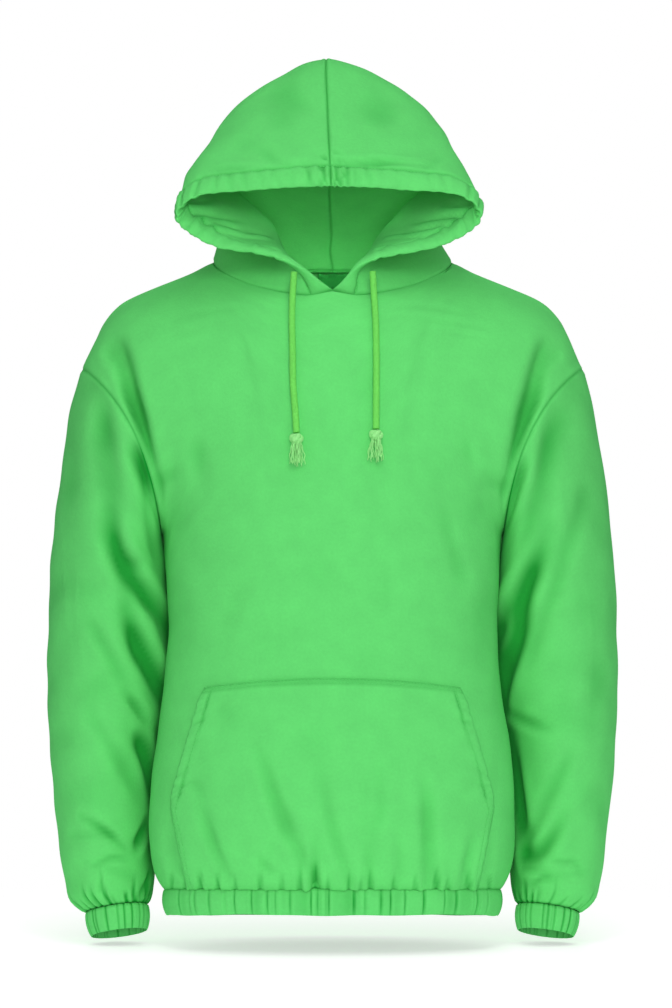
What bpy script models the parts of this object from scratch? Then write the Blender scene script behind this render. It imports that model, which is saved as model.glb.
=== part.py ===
# A pullover hoodie in the form it has when worn, with no wearer inside.
#
# The cloth is modelled as walls of real thickness, one solid for each piece that is cut and sewn on:
# front, back, two sleeves, two cuffs, hem band, two hood halves, kangaroo pocket, neck label,
# and the two ends of the drawcord with their frayed tassels.
# Metres, +Z up.  The front faces -Y, and the wearer's left is +X.
# The origin is the centre of the neck opening, level with the side neck points.

import math

import bmesh
import bpy
import numpy as np

# ---------------------------------------------------------------- driving dimensions

GAP = 0.0003                  # clearance between pieces at a seam
CLOTH = 0.0022                # thickness of the brushed fleece
SEAM_EDGE = 0.0004            # clearance above the curved neck seam

NECK_HALF_WIDTH = 0.127       # centre to side neck point
NECK_FRONT = 0.105            # how far the neck seam reaches forward
NECK_BACK = 0.070             # how far it reaches back
NECK_SIDE_Z = 0.004
NECK_FRONT_DROP = 0.060
NECK_BACK_RISE = 0.006
NECK_V_RISE = 0.006           # the seam rises a little where the hood halves meet
NECK_V_WIDTH = 0.012

HEM_SEAM_Z = -0.6575          # body to hem band
HEM_BOTTOM_Z = -0.6830
UNDERARM = (0.178, -0.290)    # x and z of the lowest point of the armhole
SHOULDER_END = (0.265, -0.1145)   # x and z where the shoulder seam meets the armhole
ARMHOLE_DEPTH = 0.085         # half depth of the armhole, front to back
ARMHOLE_SCOOP = 0.020         # how far its front and back curve in towards the body
FRONT_POWER = 2.4             # roundness of the body's cross-section in front
BACK_POWER = 2.05             # and behind, where it rounds away sooner
SHOULDER_POWER = 2.3          # roundness of the chest over to the shoulder
NECK_FLARE = 0.075            # how far the cloth beside the neck seam spreads sideways
NECK_FLARE_COLUMNS = 2.5
CHEST_FAIRED_ROWS = 4         # rows above the underarm that are faired into their neighbours
ROLL_SHARE = 15.0             # makes the side roll's curve, t^5 (1 - t), reach about 1
EDGE_PULL_POWER = 2.6         # how closely the armhole's pull keeps to the edge of a panel
CHEST_FULLNESS = 0.009        # forward swell of the chest
BACK_FULLNESS = 0.012         # swell of the shoulder blades

# Body half width and half depths by height, and how far the front swells past the side seam.
BODY_SECTIONS = (
    # height, half width, front depth, back depth, side roll
    (-0.6575, 0.1725, 0.1200, 0.1040, 0.0000),
    (-0.6480, 0.1775, 0.1280, 0.1100, 0.0020),
    (-0.6300, 0.1822, 0.1340, 0.1150, 0.0040),
    (-0.5950, 0.1850, 0.1365, 0.1175, 0.0040),
    (-0.5550, 0.1845, 0.1360, 0.1165, 0.0040),
    (-0.5100, 0.1800, 0.1340, 0.1140, 0.0040),
    (-0.4600, 0.1735, 0.1315, 0.1110, 0.0040),
    (-0.4150, 0.1690, 0.1290, 0.1090, 0.0040),
    (-0.3700, 0.1680, 0.1270, 0.1100, 0.0040),
    (-0.3300, 0.1725, 0.1255, 0.1135, 0.0030),
    (-0.2900, 0.1780, 0.1250, 0.1160, 0.0005),
)

# Heights of the body's rows above the hem seam: close together where the hem gathers it.
ROW_HEIGHTS = (0.0, 0.006, 0.016, 0.030, 0.050, 0.078, 0.115, 0.160, 0.210, 0.262, 0.315, 0.3675)

# Shoulder seam from the side neck point to the top of the armhole.
SHOULDER_SEAM = (
    # x, z
    (0.1270, 0.0040),
    (0.1550, -0.0108),
    (0.1900, -0.0248),
    (0.2220, -0.0395),
    (0.2405, -0.0590),
    (0.2510, -0.0820),
    (0.2650, -0.1145),
)

BESIDE_HEM = 0.7              # share of a fold's depth one row from the hem seam
BESIDE_EDGE = 0.6             # and one row or column from the other seams

# Largest folds of the body: troughs between two places on the cloth, seen from the front or the back.
FRONT_FOLDS = (
    # from x, from z, to x, to z, half width, depth
    (0.2220, -0.0980, 0.1960, -0.1800, 0.0120, 0.0110),
    (0.1960, -0.1800, 0.1830, -0.2600, 0.0120, 0.0080),
    (0.2360, -0.1000, 0.2280, -0.1180, 0.0070, 0.0040),
    (-0.2240, -0.0980, -0.1980, -0.1780, 0.0120, 0.0110),
    (-0.1980, -0.1780, -0.1840, -0.2600, 0.0120, 0.0080),
    (-0.2360, -0.0980, -0.2290, -0.1160, 0.0070, 0.0045),
    (-0.1180, -0.6440, -0.1380, -0.5200, 0.0140, 0.0050),
    (-0.0720, -0.6440, -0.0320, -0.5700, 0.0120, 0.0045),
    (-0.0080, -0.6440, -0.0140, -0.5400, 0.0130, 0.0045),
    (0.0420, -0.6440, 0.0340, -0.5500, 0.0120, 0.0040),
    (0.0800, -0.6440, 0.1020, -0.5600, 0.0130, 0.0045),
    (0.1320, -0.6440, 0.1430, -0.5900, 0.0110, 0.0035),
    (-0.1520, -0.6440, -0.1600, -0.6000, 0.0100, 0.0035),
)
BACK_FOLDS = (
    (0.2180, -0.1100, 0.1940, -0.1900, 0.0130, 0.0100),
    (0.1940, -0.1900, 0.1800, -0.2700, 0.0130, 0.0070),
    (-0.2190, -0.1120, -0.1950, -0.1930, 0.0130, 0.0100),
    (-0.1950, -0.1930, -0.1810, -0.2700, 0.0130, 0.0070),
    (-0.0950, -0.6440, -0.1100, -0.5300, 0.0170, 0.0050),
    (-0.0300, -0.6440, -0.0220, -0.5500, 0.0170, 0.0045),
    (0.0330, -0.6440, 0.0450, -0.5350, 0.0170, 0.0050),
    (0.1010, -0.6440, 0.1080, -0.5600, 0.0170, 0.0045),
)

# Left sleeve: rings from the armhole to the cuff seam.  Each ring joins an outer and an inner point.
SLEEVE_RINGS = (
    # outer x, outer z, inner x, inner z, half depth, middle y
    (0.2650, -0.1145, 0.1780, -0.2900, 0.0850, 0.0000),
    (0.2752, -0.1500, 0.1788, -0.2960, 0.0870, 0.0050),
    (0.2830, -0.1950, 0.1763, -0.3090, 0.0880, 0.0150),
    (0.2907, -0.2450, 0.1724, -0.3330, 0.0870, 0.0230),
    (0.2959, -0.3000, 0.1679, -0.3660, 0.0850, 0.0280),
    (0.2988, -0.3550, 0.1674, -0.4010, 0.0830, 0.0300),
    (0.2995, -0.4150, 0.1705, -0.4450, 0.0800, 0.0310),
    (0.2980, -0.4700, 0.1764, -0.4900, 0.0770, 0.0300),
    (0.2944, -0.5250, 0.1822, -0.5370, 0.0740, 0.0290),
    (0.2888, -0.5750, 0.1846, -0.5820, 0.0700, 0.0280),
    (0.2828, -0.6200, 0.1842, -0.6180, 0.0640, 0.0260),
    (0.2773, -0.6480, 0.1845, -0.6420, 0.0560, 0.0230),
    (0.2715, -0.6680, 0.1865, -0.6590, 0.0460, 0.0200),
    (0.2550, -0.6810, 0.1910, -0.6715, 0.0350, 0.0170),
)
CUFF_BOTTOM = (0.2500, -0.7055, 0.1905, -0.6975, 0.0335, 0.0170)
CUFF_PITCH = 0.0042           # the front of the cuff's ring is higher than its middle by this much
CUFF_WAVES = 14
CUFF_WAVE_STEPS = 4           # points to a wave of a cuff
CUFF_WAVE_DEPTH = 0.0009

# Largest folds of the sleeves, by angle round the sleeve (0 outside, 90 front) and by height.
LEFT_SLEEVE_FOLDS = (
    # from angle, from z, to angle, to z, half width, depth
    (75.0, -0.190, 128.0, -0.330, 0.0130, 0.0065),
    (50.0, -0.245, 125.0, -0.430, 0.0140, 0.0070),
    (85.0, -0.520, 140.0, -0.620, 0.0130, 0.0060),
    (50.0, -0.640, 130.0, -0.648, 0.0080, 0.0040),
    (235.0, -0.200, 300.0, -0.360, 0.0150, 0.0065),
    (210.0, -0.330, 290.0, -0.470, 0.0150, 0.0060),
    (215.0, -0.600, 300.0, -0.640, 0.0100, 0.0045),
)
RIGHT_SLEEVE_FOLDS = (
    (55.0, -0.170, 122.0, -0.420, 0.0130, 0.0075),
    (100.0, -0.200, 140.0, -0.320, 0.0120, 0.0060),
    (80.0, -0.480, 135.0, -0.560, 0.0130, 0.0055),
    (45.0, -0.605, 110.0, -0.600, 0.0090, 0.0045),
    (60.0, -0.628, 130.0, -0.645, 0.0080, 0.0035),
    (240.0, -0.190, 305.0, -0.350, 0.0150, 0.0065),
    (215.0, -0.350, 285.0, -0.500, 0.0150, 0.0060),
    (220.0, -0.610, 300.0, -0.630, 0.0100, 0.0040),
)

BAND_WAVES = 38
WAVE_STEPS = 3                # points to a wave of the hem band
BAND_WAVE_DEPTH = 0.0010
BAND_SWELL = 0.0025
BAND_FOOT_IN = 0.0025
BAND_CLOTH = 1.6 * CLOTH      # the bands are doubled over their elastic
CUFF_CLOTH = 1.4 * CLOTH
BAND_SEAM_RUCHING = 0.4       # share of the ruching's depth at the seam
CUFF_LEVELS = (
    # share down, width, share of the ruching's depth
    (0.0, 1.0, BAND_SEAM_RUCHING),
    (0.5, 1.05, 1.0),
    (1.0, 0.99, 1.0),
)

# Left half of the hood.  Each section starts on the neck seam and ends on the crown seam.
# Above its foot it passes through six places, each given as x, y and z.
HOOD_PLACES = 6
HOOD_SECTIONS = (
    # distance from the rim, foot along the neck seam (0 front, 1 side, 2 back),
    # low, side, turn, brow, upper, crown
    (0.000, 0.00, (0.046, -0.121, -0.022), (0.117, -0.115, -0.006), (0.1570, -0.103, 0.024),
     (0.137, -0.113, 0.047), (0.075, -0.121, 0.0515), (0.0, -0.127, 0.0545)),
    (0.021, 0.11, (0.042, -0.104, -0.016), (0.108, -0.098, 0.008), (0.1535, -0.086, 0.047),
     (0.134, -0.097, 0.069), (0.076, -0.110, 0.0745), (0.0, -0.116, 0.0785)),
    (0.060, 0.31, (0.046, -0.080, -0.0048), (0.084, -0.070, 0.022), (0.1420, -0.056, 0.071),
     (0.133, -0.067, 0.101), (0.080, -0.083, 0.110), (0.0, -0.092, 0.1165)),
    (0.105, 0.54, (0.056, -0.046, 0.014), (0.073, -0.032, 0.047), (0.1260, -0.020, 0.092),
     (0.125, -0.032, 0.130), (0.082, -0.048, 0.153), (0.0, -0.060, 0.1630)),
    (0.190, 1.00, (0.114, 0.000, 0.040), (0.111, 0.006, 0.076), (0.1150, 0.014, 0.114),
     (0.109, 0.009, 0.158), (0.067, 0.001, 0.200), (0.0, -0.004, 0.2270)),
    (0.270, 1.50, (0.084, 0.056, 0.043), (0.093, 0.064, 0.080), (0.0970, 0.070, 0.116),
     (0.087, 0.070, 0.154), (0.052, 0.066, 0.190), (0.0, 0.060, 0.2100)),
    (0.350, 2.00, (0.0, 0.084, 0.040), (0.0, 0.096, 0.070), (0.0, 0.104, 0.098),
     (0.0, 0.108, 0.126), (0.0, 0.106, 0.153), (0.0, 0.098, 0.178)),
)
# The hood leans to its right, and its middle seam wanders a little more or less than its sides.
HOOD_LEAN = (
    # height, sideways shift, further shift of the middle seam
    (0.000, -0.0052, 0.0000),
    (0.025, -0.0037, 0.0000),
    (0.055, -0.0032, 0.0018),
    (0.100, -0.0048, 0.0014),
    (0.130, -0.0036, -0.0010),
    (0.170, -0.0024, -0.0034),
    (0.200, -0.0010, -0.0060),
)
SEAM_WANDER_WIDTH = 0.045     # half width of the cloth that wanders with the seam
CASING = 0.021                # width of the turned hem that holds the drawcord
CASING_SWELL = 0.0024         # how far it stands out on each face

# Kangaroo pocket: its corners from the hem up, and its thickness.
POCKET_CORNERS = (
    # half width, height
    (0.1450, -0.6560),
    (0.1615, -0.5760),
    (0.1275, -0.4570),
)
POCKET_LIFT = 0.0004          # clearance over the front
POCKET_CLOTH = 0.0020

LABEL_WIDTH = 0.032
LABEL_HEIGHT = 0.015
LABEL_CLOTH = 0.0009
LABEL_TOP = 0.0010            # below the back neck seam

CORD_DIAMETER = 0.0066
# Routes of the two ends of the drawcord: they leave the hood's casing and hang on the chest.
LEFT_CORD_ROUTE = (
    # x, y, z
    (0.0410, -0.1217, -0.0345),
    (0.0425, -0.1207, -0.0600),
    (0.0440, -0.1214, -0.0860),
    (0.0445, -0.1270, -0.1200),
    (0.0443, -0.1332, -0.1550),
    (0.0440, -0.1378, -0.1850),
    (0.0440, -0.1384, -0.2000),
)
RIGHT_CORD_ROUTE = (
    (-0.0390, -0.1217, -0.0350),
    (-0.0405, -0.1207, -0.0600),
    (-0.0410, -0.1218, -0.0870),
    (-0.0402, -0.1276, -0.1200),
    (-0.0396, -0.1338, -0.1520),
    (-0.0370, -0.1388, -0.1850),
    (-0.0360, -0.1396, -0.2040),
)
CORD_POINTS = 18
KNOT_RADIUS = 0.0078
KNOT_HEIGHT = 0.0100
KNOT_GAP = 0.0007             # below the cord's end
KNOT_SIDES = 12
KNOT_FLATNESS = 0.8           # its depth, front to back, over its width
KNOT_LEVELS = ((0.0, 0.55), (0.18, 0.92), (0.5, 1.0), (0.82, 0.94), (1.0, 0.80))   # share down, width
KNOT_TWIST = 0.06             # how far its three turns stand out
KNOT_FOOT = 0.36              # radius of the inner ring of its underside
KNOT_FOOT_DROP = (0.0008, 0.0010)   # inner ring and middle of the underside
STRAND_INSET = 0.0004
STRAND_SPREAD = (1.0, 0.45, -0.10)  # how far each length of a strand goes outwards
STRAND_SWAY = 0.00012
STRAND_FLATNESS = 0.6
STRAND_TIP = 0.6              # width of a strand's tip over its width
TASSEL_LENGTH = 0.0250
LEFT_SPREAD = 0.35
RIGHT_SPREAD = 0.45
LEFT_STRANDS = (
    # sideways lean, share of the tassel's length
    (0.6, 0.93), (-0.8, 1.00), (0.2, 0.86), (0.9, 0.97), (-0.3, 0.90),
)
RIGHT_STRANDS = (
    (-0.5, 1.00), (0.7, 0.92), (-0.1, 0.97), (0.4, 0.88), (-0.9, 0.95),
)

NECK_STEPS_FRONT = 7          # cells of the front neck seam, centre to side
SHOULDER_STEPS_FRONT = 9
NECK_STEPS_BACK = 6
SHOULDER_STEPS_BACK = 8
ARMHOLE_STEPS = 12            # cells of half the armhole, underarm to shoulder
SLEEVE_ROWS = 18
SLEEVE_LAST_ROWS = (1.2, 0.45)       # table rows before the cuff seam where its last two rows stand
SLEEVE_RADIUS = 0.075         # turns an angle round the sleeve into a distance
SCOOP_FADE = 0.45             # share of the sleeve over which the armhole's scoop dies away
HOOD_STEPS_UP = 16
HOOD_STEPS_ALONG = (0.0, 0.005, 0.0105, 0.016, 0.021, 0.030, 0.044, 0.062, 0.084, 0.108, 0.134,
                    0.162, 0.192, 0.224, 0.256, 0.288, 0.320, 0.350)

FLEECE_GREEN = (0.100, 0.640, 0.150, 1.0)
RIB_GREEN = (0.095, 0.620, 0.145, 1.0)
CORD_GREEN = (0.150, 0.660, 0.130, 1.0)
TASSEL_GREEN = (0.240, 0.760, 0.220, 1.0)
LABEL_GREEN = (0.060, 0.200, 0.100, 1.0)


# ---------------------------------------------------------------- curves and surfaces

def smooth(knots, rows, at):
    """Cubic curve through the rows at the knots, its slopes taken from the neighbours."""
    knots = np.asarray(knots, dtype=float)
    rows = np.asarray(rows, dtype=float)
    at = np.asarray(at, dtype=float)
    slopes = np.gradient(rows, knots, axis=0)
    left = np.clip(np.searchsorted(knots, at, side="right") - 1, 0, len(knots) - 2)
    span = knots[left + 1] - knots[left]
    part = (at - knots[left]) / span
    shape = (-1,) + (1,) * (rows.ndim - 1)
    part = part.reshape(shape)
    span = span.reshape(shape)
    start = (1 + 2 * part) * (1 - part) ** 2 * rows[left]
    end = part ** 2 * (3 - 2 * part) * rows[left + 1]
    start_slope = part * (1 - part) ** 2 * span * slopes[left]
    end_slope = part ** 2 * (part - 1) * span * slopes[left + 1]
    return start + end + start_slope + end_slope


def along(points, shares):
    """Points at the given shares of the length of a line through many points."""
    steps = np.linalg.norm(np.diff(points, axis=0), axis=1)
    length = np.concatenate([[0.0], np.cumsum(steps)])
    wanted = np.asarray(shares) * length[-1]
    return np.stack([np.interp(wanted, length, points[:, axis]) for axis in range(points.shape[1])], -1)


def surface_normals(grid, closed=False):
    """Unit normals of a grid of points: across the columns times up the rows."""
    up = np.gradient(grid, axis=0)
    if closed:
        across = (np.roll(grid, -1, axis=1) - np.roll(grid, 1, axis=1)) / 2
    else:
        across = np.gradient(grid, axis=1)
    normal = np.cross(across, up)
    length = np.linalg.norm(normal, axis=-1, keepdims=True)
    return normal / np.maximum(length, 1e-12)


def ease(value):
    """Smooth step from 0 to 1."""
    value = np.clip(value, 0.0, 1.0)
    return value * value * (3 - 2 * value)


def trough(across, height, fold):
    """Depth of one fold at places given by a width and a height: a trough between two soft ridges."""
    from_a, from_h, to_a, to_h, half_width, depth = fold
    run_a = to_a - from_a
    run_h = to_h - from_h
    length_squared = run_a ** 2 + run_h ** 2
    share = ((across - from_a) * run_a + (height - from_h) * run_h) / length_squared
    offset = ((across - from_a) * run_h - (height - from_h) * run_a) / math.sqrt(length_squared)
    overshoot = half_width * 1.5 / math.sqrt(length_squared)
    fade = ease((share + overshoot) / (2 * overshoot)) * ease((1 + overshoot - share) / (2 * overshoot))
    wave = offset / half_width
    return depth * fade * (wave ** 2 * 0.9 - 1.0) * np.exp(-wave ** 2)


def mirrored(grid):
    """The same grid on the other side of the body, with its columns in the other order."""
    turned = grid[:, ::-1].copy()
    turned[..., 0] *= -1
    return turned


# ---------------------------------------------------------------- objects

def clear_scene():
    for thing in list(bpy.data.objects):
        bpy.data.objects.remove(thing, do_unlink=True)


def cloth_material(name, colour, roughness):
    material = bpy.data.materials.new(name)
    material.use_nodes = True
    shader = material.node_tree.nodes["Principled BSDF"]
    shader.inputs["Base Color"].default_value = colour
    shader.inputs["Roughness"].default_value = roughness
    shader.inputs["Metallic"].default_value = 0.0
    material.diffuse_color = colour
    return material


def add_mesh(name, points, faces, colour, roughness=0.9):
    mesh = bpy.data.meshes.new(name)
    mesh.from_pydata([tuple(point) for point in points], [], faces)
    mesh.validate()
    mesh.shade_smooth()
    mesh.set_sharp_from_angle(angle=math.radians(50))
    thing = bpy.data.objects.new(name, mesh)
    bpy.context.collection.objects.link(thing)
    mesh.materials.append(cloth_material(name, colour, roughness))
    return thing


def wall_faces(rows, columns, closed):
    """Faces of a wall: outer grid, inner grid, and the strips that join them at the edges."""
    outer = np.arange(rows * columns).reshape(rows, columns)
    inner = outer + rows * columns
    if closed:
        outer = np.concatenate([outer, outer[:, :1]], axis=1)
        inner = np.concatenate([inner, inner[:, :1]], axis=1)
    faces = []

    def strip(first, second, third, fourth):
        faces.extend(np.stack([first, second, third], -1).reshape(-1, 3).tolist())
        faces.extend(np.stack([first, third, fourth], -1).reshape(-1, 3).tolist())

    strip(outer[:-1, :-1], outer[:-1, 1:], outer[1:, 1:], outer[1:, :-1])
    strip(inner[:-1, :-1], inner[1:, :-1], inner[1:, 1:], inner[:-1, 1:])
    strip(outer[0, :-1], inner[0, :-1], inner[0, 1:], outer[0, 1:])
    strip(outer[-1, :-1], outer[-1, 1:], inner[-1, 1:], inner[-1, :-1])
    if not closed:
        strip(outer[:-1, 0], outer[1:, 0], inner[1:, 0], inner[:-1, 0])
        strip(outer[:-1, -1], inner[:-1, -1], inner[1:, -1], outer[1:, -1])
    return faces


def add_wall(name, outer, inner, colour, closed=False):
    rows, columns = outer.shape[:2]
    points = np.concatenate([outer.reshape(-1, 3), inner.reshape(-1, 3)])
    return add_mesh(name, points, wall_faces(rows, columns, closed), colour)


# ---------------------------------------------------------------- neck seam and armholes

def neck_curve(place):
    """The neck seam on the left side: place 0 is the front, 1 the side neck point, 2 the back."""
    place = np.asarray(place, dtype=float)
    angle = place * math.pi / 2
    front = place <= 1
    x = NECK_HALF_WIDTH * np.sin(angle)
    cosine = np.cos(angle)
    y = np.where(front, -NECK_FRONT * cosine, -NECK_BACK * cosine)
    drop = NECK_FRONT_DROP * np.clip(cosine, 0, 1) ** 1.2
    notch = NECK_V_RISE * np.exp(-(x / NECK_V_WIDTH) ** 2)
    z_front = NECK_SIDE_Z - drop + notch
    z_back = NECK_SIDE_Z - NECK_BACK_RISE * cosine
    return np.stack([x, y, np.where(front, z_front, z_back)], -1)


def neck_seam(place):
    """The seam as it is sewn: straight between the corners that the body's panels have on it."""
    corners = np.concatenate([np.linspace(0, 1, NECK_STEPS_FRONT + 1),
                              np.linspace(1, 2, NECK_STEPS_BACK + 1)[1:]])
    points = neck_curve(corners)
    return np.stack([np.interp(place, corners, points[:, axis]) for axis in range(3)], -1)


def armhole_frame():
    """Middle of the left armhole, half its height as a vector, and its outward direction."""
    top = np.array([SHOULDER_END[0], 0.0, SHOULDER_END[1]])
    low = np.array([UNDERARM[0], 0.0, UNDERARM[1]])
    middle = (top + low) / 2
    reach = (top - low) / 2
    outward = np.array([reach[2], 0.0, -reach[0]])
    return middle, reach, outward / np.linalg.norm(outward)


def armhole_loop(angle, shift):
    """The left armhole by angle: 0 at the shoulder, 90 degrees in front, 180 at the underarm."""
    middle, reach, outward = armhole_frame()
    angle = np.asarray(angle, dtype=float)[:, None]
    forward = np.array([0.0, -ARMHOLE_DEPTH, 0.0])
    scoop = ARMHOLE_SCOOP * np.sin(angle) ** 2
    return middle + np.cos(angle) * reach + np.sin(angle) * forward + (shift - scoop) * outward


def held_by_armhole(points, side):
    """Move points that cross the armhole seam back to their own side: -1 the body, 1 the sleeve."""
    middle, _, outward = armhole_frame()
    seam = -ARMHOLE_SCOOP * (points[..., 1] / ARMHOLE_DEPTH) ** 2
    past = ((points - middle) @ outward - seam) * side
    short = np.minimum(past - GAP / 2, 0.0)
    return points - short[..., None] * side * outward


# ---------------------------------------------------------------- body

def body_size(height):
    table = np.array(BODY_SECTIONS)
    return smooth(table[:, 0], table[:, 1:], height)


def half_section(facing, size, shares):
    """A quarter of the body's rounded section, from its centre line to its side."""
    half_width, front_depth, back_depth, side_roll = size
    turn = np.linspace(0.0, 1.0, 181)
    angle = turn * math.pi / 2
    if facing < 0:
        x = half_width * np.sin(angle) ** (2 / FRONT_POWER) + side_roll * ROLL_SHARE * turn ** 5 * (1 - turn)
        y = -front_depth * np.cos(angle) ** (2 / FRONT_POWER)
    else:
        x = half_width * np.sin(angle) ** (2 / BACK_POWER)
        y = back_depth * np.cos(angle) ** (2 / BACK_POWER)
    return along(np.stack([x, y], -1), shares)


def half_panel(facing, neck_steps, shoulder_steps, fullness):
    """Left half of the front (facing -1) or back (facing 1) as rows of points, hem to shoulder."""
    steps = neck_steps + shoulder_steps
    shares = np.linspace(0.0, 1.0, steps + 1)
    heights = HEM_SEAM_Z + np.array(ROW_HEIGHTS)
    sizes = body_size(heights)
    lower = np.zeros((len(heights), steps + 1, 3))
    for row, size in enumerate(sizes):
        lower[row, :, :2] = half_section(facing, size, shares)
        lower[row, :, 2] = heights[row]

    if facing < 0:
        neck = neck_curve(np.linspace(0.0, 1.0, neck_steps + 1))
    else:
        neck = neck_curve(np.linspace(2.0, 1.0, neck_steps + 1))
    seam = np.array(SHOULDER_SEAM)
    seam = smooth(np.arange(len(seam)), seam, np.linspace(0, len(seam) - 1, 121))
    seam = along(seam, np.linspace(0.0, 1.0, shoulder_steps + 1))
    shoulder = np.stack([seam[:, 0], 0 * seam[:, 0], seam[:, 1]], -1)
    top = np.concatenate([neck, shoulder[1:]])

    edge_angle = math.pi * (1 - np.linspace(0.0, 1.0, ARMHOLE_STEPS + 1)[1:])
    edge = armhole_loop(edge_angle, -GAP / 2)
    edge[:, 1] *= -facing
    chest = lower[-1]
    start, end = chest[-1], top[-1]
    across_share = ((edge[:, 0] - start[0]) / (end[0] - start[0]))[:, None]
    up_share = np.clip((edge[:, 2] - start[2]) / (end[2] - start[2]), 0.0, 1.0)[:, None]
    over_share = 1 - (1 - up_share ** SHOULDER_POWER) ** (1 / SHOULDER_POWER)
    upper = np.zeros((ARMHOLE_STEPS, steps + 1, 3))
    size = sizes[-1]
    places = np.linspace(0.0, 1.0, 241)
    outline = half_section(facing, size, places)
    for row in range(ARMHOLE_STEPS):
        left_over = max(1 - over_share[row, 0], 1e-6)
        reach = min(abs(edge[row, 1]) / left_over, size[1 if facing < 0 else 2])
        last = np.interp(-reach, -np.abs(outline[:, 1]), places)
        part = half_section(facing, size, shares * last)
        upper[row, :, 0] = part[:, 0] + (top[:, 0] - part[:, 0]) * across_share[row]
        upper[row, :, 1] = part[:, 1] * left_over + top[:, 1] * over_share[row]
        upper[row, :, 2] = chest[:, 2] + (top[:, 2] - chest[:, 2]) * up_share[row]
    beside_neck = np.exp(-((np.arange(steps + 1) - neck_steps) / NECK_FLARE_COLUMNS) ** 2)
    upper[..., 0] += NECK_FLARE * np.sqrt(1 - up_share) * up_share ** 4 * beside_neck
    swell = np.sin(up_share * math.pi) ** 2 * np.cos(shares * math.pi / 2) ** 2
    upper[..., 1] += facing * fullness * swell
    pull = (edge - upper[:, -1])[:, None, :]
    upper += pull * (shares ** EDGE_PULL_POWER)[None, :, None]
    grid = eased_chest(np.concatenate([lower, upper]))
    if facing < 0:
        grid[..., 1] = np.minimum(grid[..., 1], -GAP / 2)
    else:
        grid[..., 1] = np.maximum(grid[..., 1], GAP / 2)
    return grid


def eased_chest(grid):
    """Rows just above and below the underarm are faired into the rows around them."""
    first = len(ROW_HEIGHTS) - 1
    last = grid.shape[1] - 1
    kept = [row for row in range(len(grid)) if not first <= row <= first + CHEST_FAIRED_ROWS]
    faired = grid.copy()
    for column in range(last):
        heights = grid[:, column, 2]
        weight = min((last - column) / 2, 1.0)
        curve = smooth(heights[kept], grid[kept, column], heights)
        faired[:, column] += (curve - grid[:, column]) * weight
    return faired


def edge_fade(rows, columns):
    """1 over a panel and 0 along its four edges, where it is sewn."""
    row_fade = np.ones(rows)
    row_fade[[0, -1]] = 0.0
    row_fade[[1, -2]] = BESIDE_HEM, BESIDE_EDGE
    column_fade = np.ones(columns)
    column_fade[[0, -1]] = 0.0
    column_fade[[1, -2]] = BESIDE_EDGE
    return row_fade[:, None] * column_fade[None, :]


def body_panel(facing, neck_steps, shoulder_steps, fullness, folds):
    """Outer points of the whole front or back, with its folds."""
    half = half_panel(facing, neck_steps, shoulder_steps, fullness)
    if facing < 0:
        grid = np.concatenate([mirrored(half)[:, :-1], half], axis=1)
    else:
        grid = np.concatenate([half[:, ::-1][:, :-1], mirrored(half[:, ::-1])], axis=1)
    depth = np.zeros(grid.shape[:2])
    for fold in folds:
        depth += trough(grid[..., 0], grid[..., 2], fold)
    depth *= edge_fade(*depth.shape)
    return grid + surface_normals(grid) * depth[..., None]


def keep_on_own_side(points, facing):
    """Inner points of a panel stay on their side of the side, shoulder and armhole seams."""
    kept = points.copy()
    if facing < 0:
        kept[..., 1] = np.minimum(kept[..., 1], -GAP / 2)
    else:
        kept[..., 1] = np.maximum(kept[..., 1], GAP / 2)
    first = len(ROW_HEIGHTS) - 1
    for column in (0, -1):
        edge = kept[first:, column].copy()
        sign = np.sign(edge[:, 0:1]) * np.array([1.0, 0, 0]) + np.array([0, 1.0, 1.0])
        kept[first:, column] = held_by_armhole(edge * sign, -1) * sign
    kept[0, :, 2] = HEM_SEAM_Z
    return kept


def add_body_panel(name, facing, neck_steps, shoulder_steps, fullness, folds):
    outer = body_panel(facing, neck_steps, shoulder_steps, fullness, folds)
    inner = keep_on_own_side(outer - surface_normals(outer) * CLOTH, facing)
    add_wall(name, outer, inner, FLEECE_GREEN)
    return outer, inner


# ---------------------------------------------------------------- hem band and cuffs

def add_hem_band():
    """Elastic band round the hem, ruched all the way round."""
    around = BAND_WAVES * WAVE_STEPS
    size = body_size(np.array([HEM_SEAM_Z]))[0]
    front = half_section(-1, size, np.linspace(0, 1, 61))
    back = half_section(1, size, np.linspace(0, 1, 61))
    flip = np.array([-1.0, 1.0])
    outline = np.concatenate([front[:-1], back[::-1][:-1], (back * flip)[:-1], (front * flip)[::-1]])
    ring = along(outline, np.arange(around) / around)
    turn = (np.roll(ring, -1, axis=0) - np.roll(ring, 1, axis=0))
    turn /= np.linalg.norm(turn, axis=1, keepdims=True)
    away = np.stack([turn[:, 1], -turn[:, 0]], -1)
    wave = np.cos(np.arange(around) * 2 * math.pi / WAVE_STEPS) * BAND_WAVE_DEPTH
    top = HEM_SEAM_Z - GAP
    middle = (top + HEM_BOTTOM_Z) / 2
    rows = ((HEM_BOTTOM_Z, -BAND_FOOT_IN, 1.0), (middle, BAND_SWELL, 1.0), (top, 0.0, BAND_SEAM_RUCHING))
    outer = np.zeros((3, around, 3))
    inner = np.zeros((3, around, 3))
    for row, (height, out, ruching) in enumerate(rows):
        outer[row, :, :2] = ring + away * (out + wave * ruching)[:, None]
        inner[row, :, :2] = ring + away * (out + wave * ruching - BAND_CLOTH)[:, None]
        outer[row, :, 2] = height
        inner[row, :, 2] = height
    add_wall("hem_band", outer, inner, RIB_GREEN, closed=True)


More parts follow.
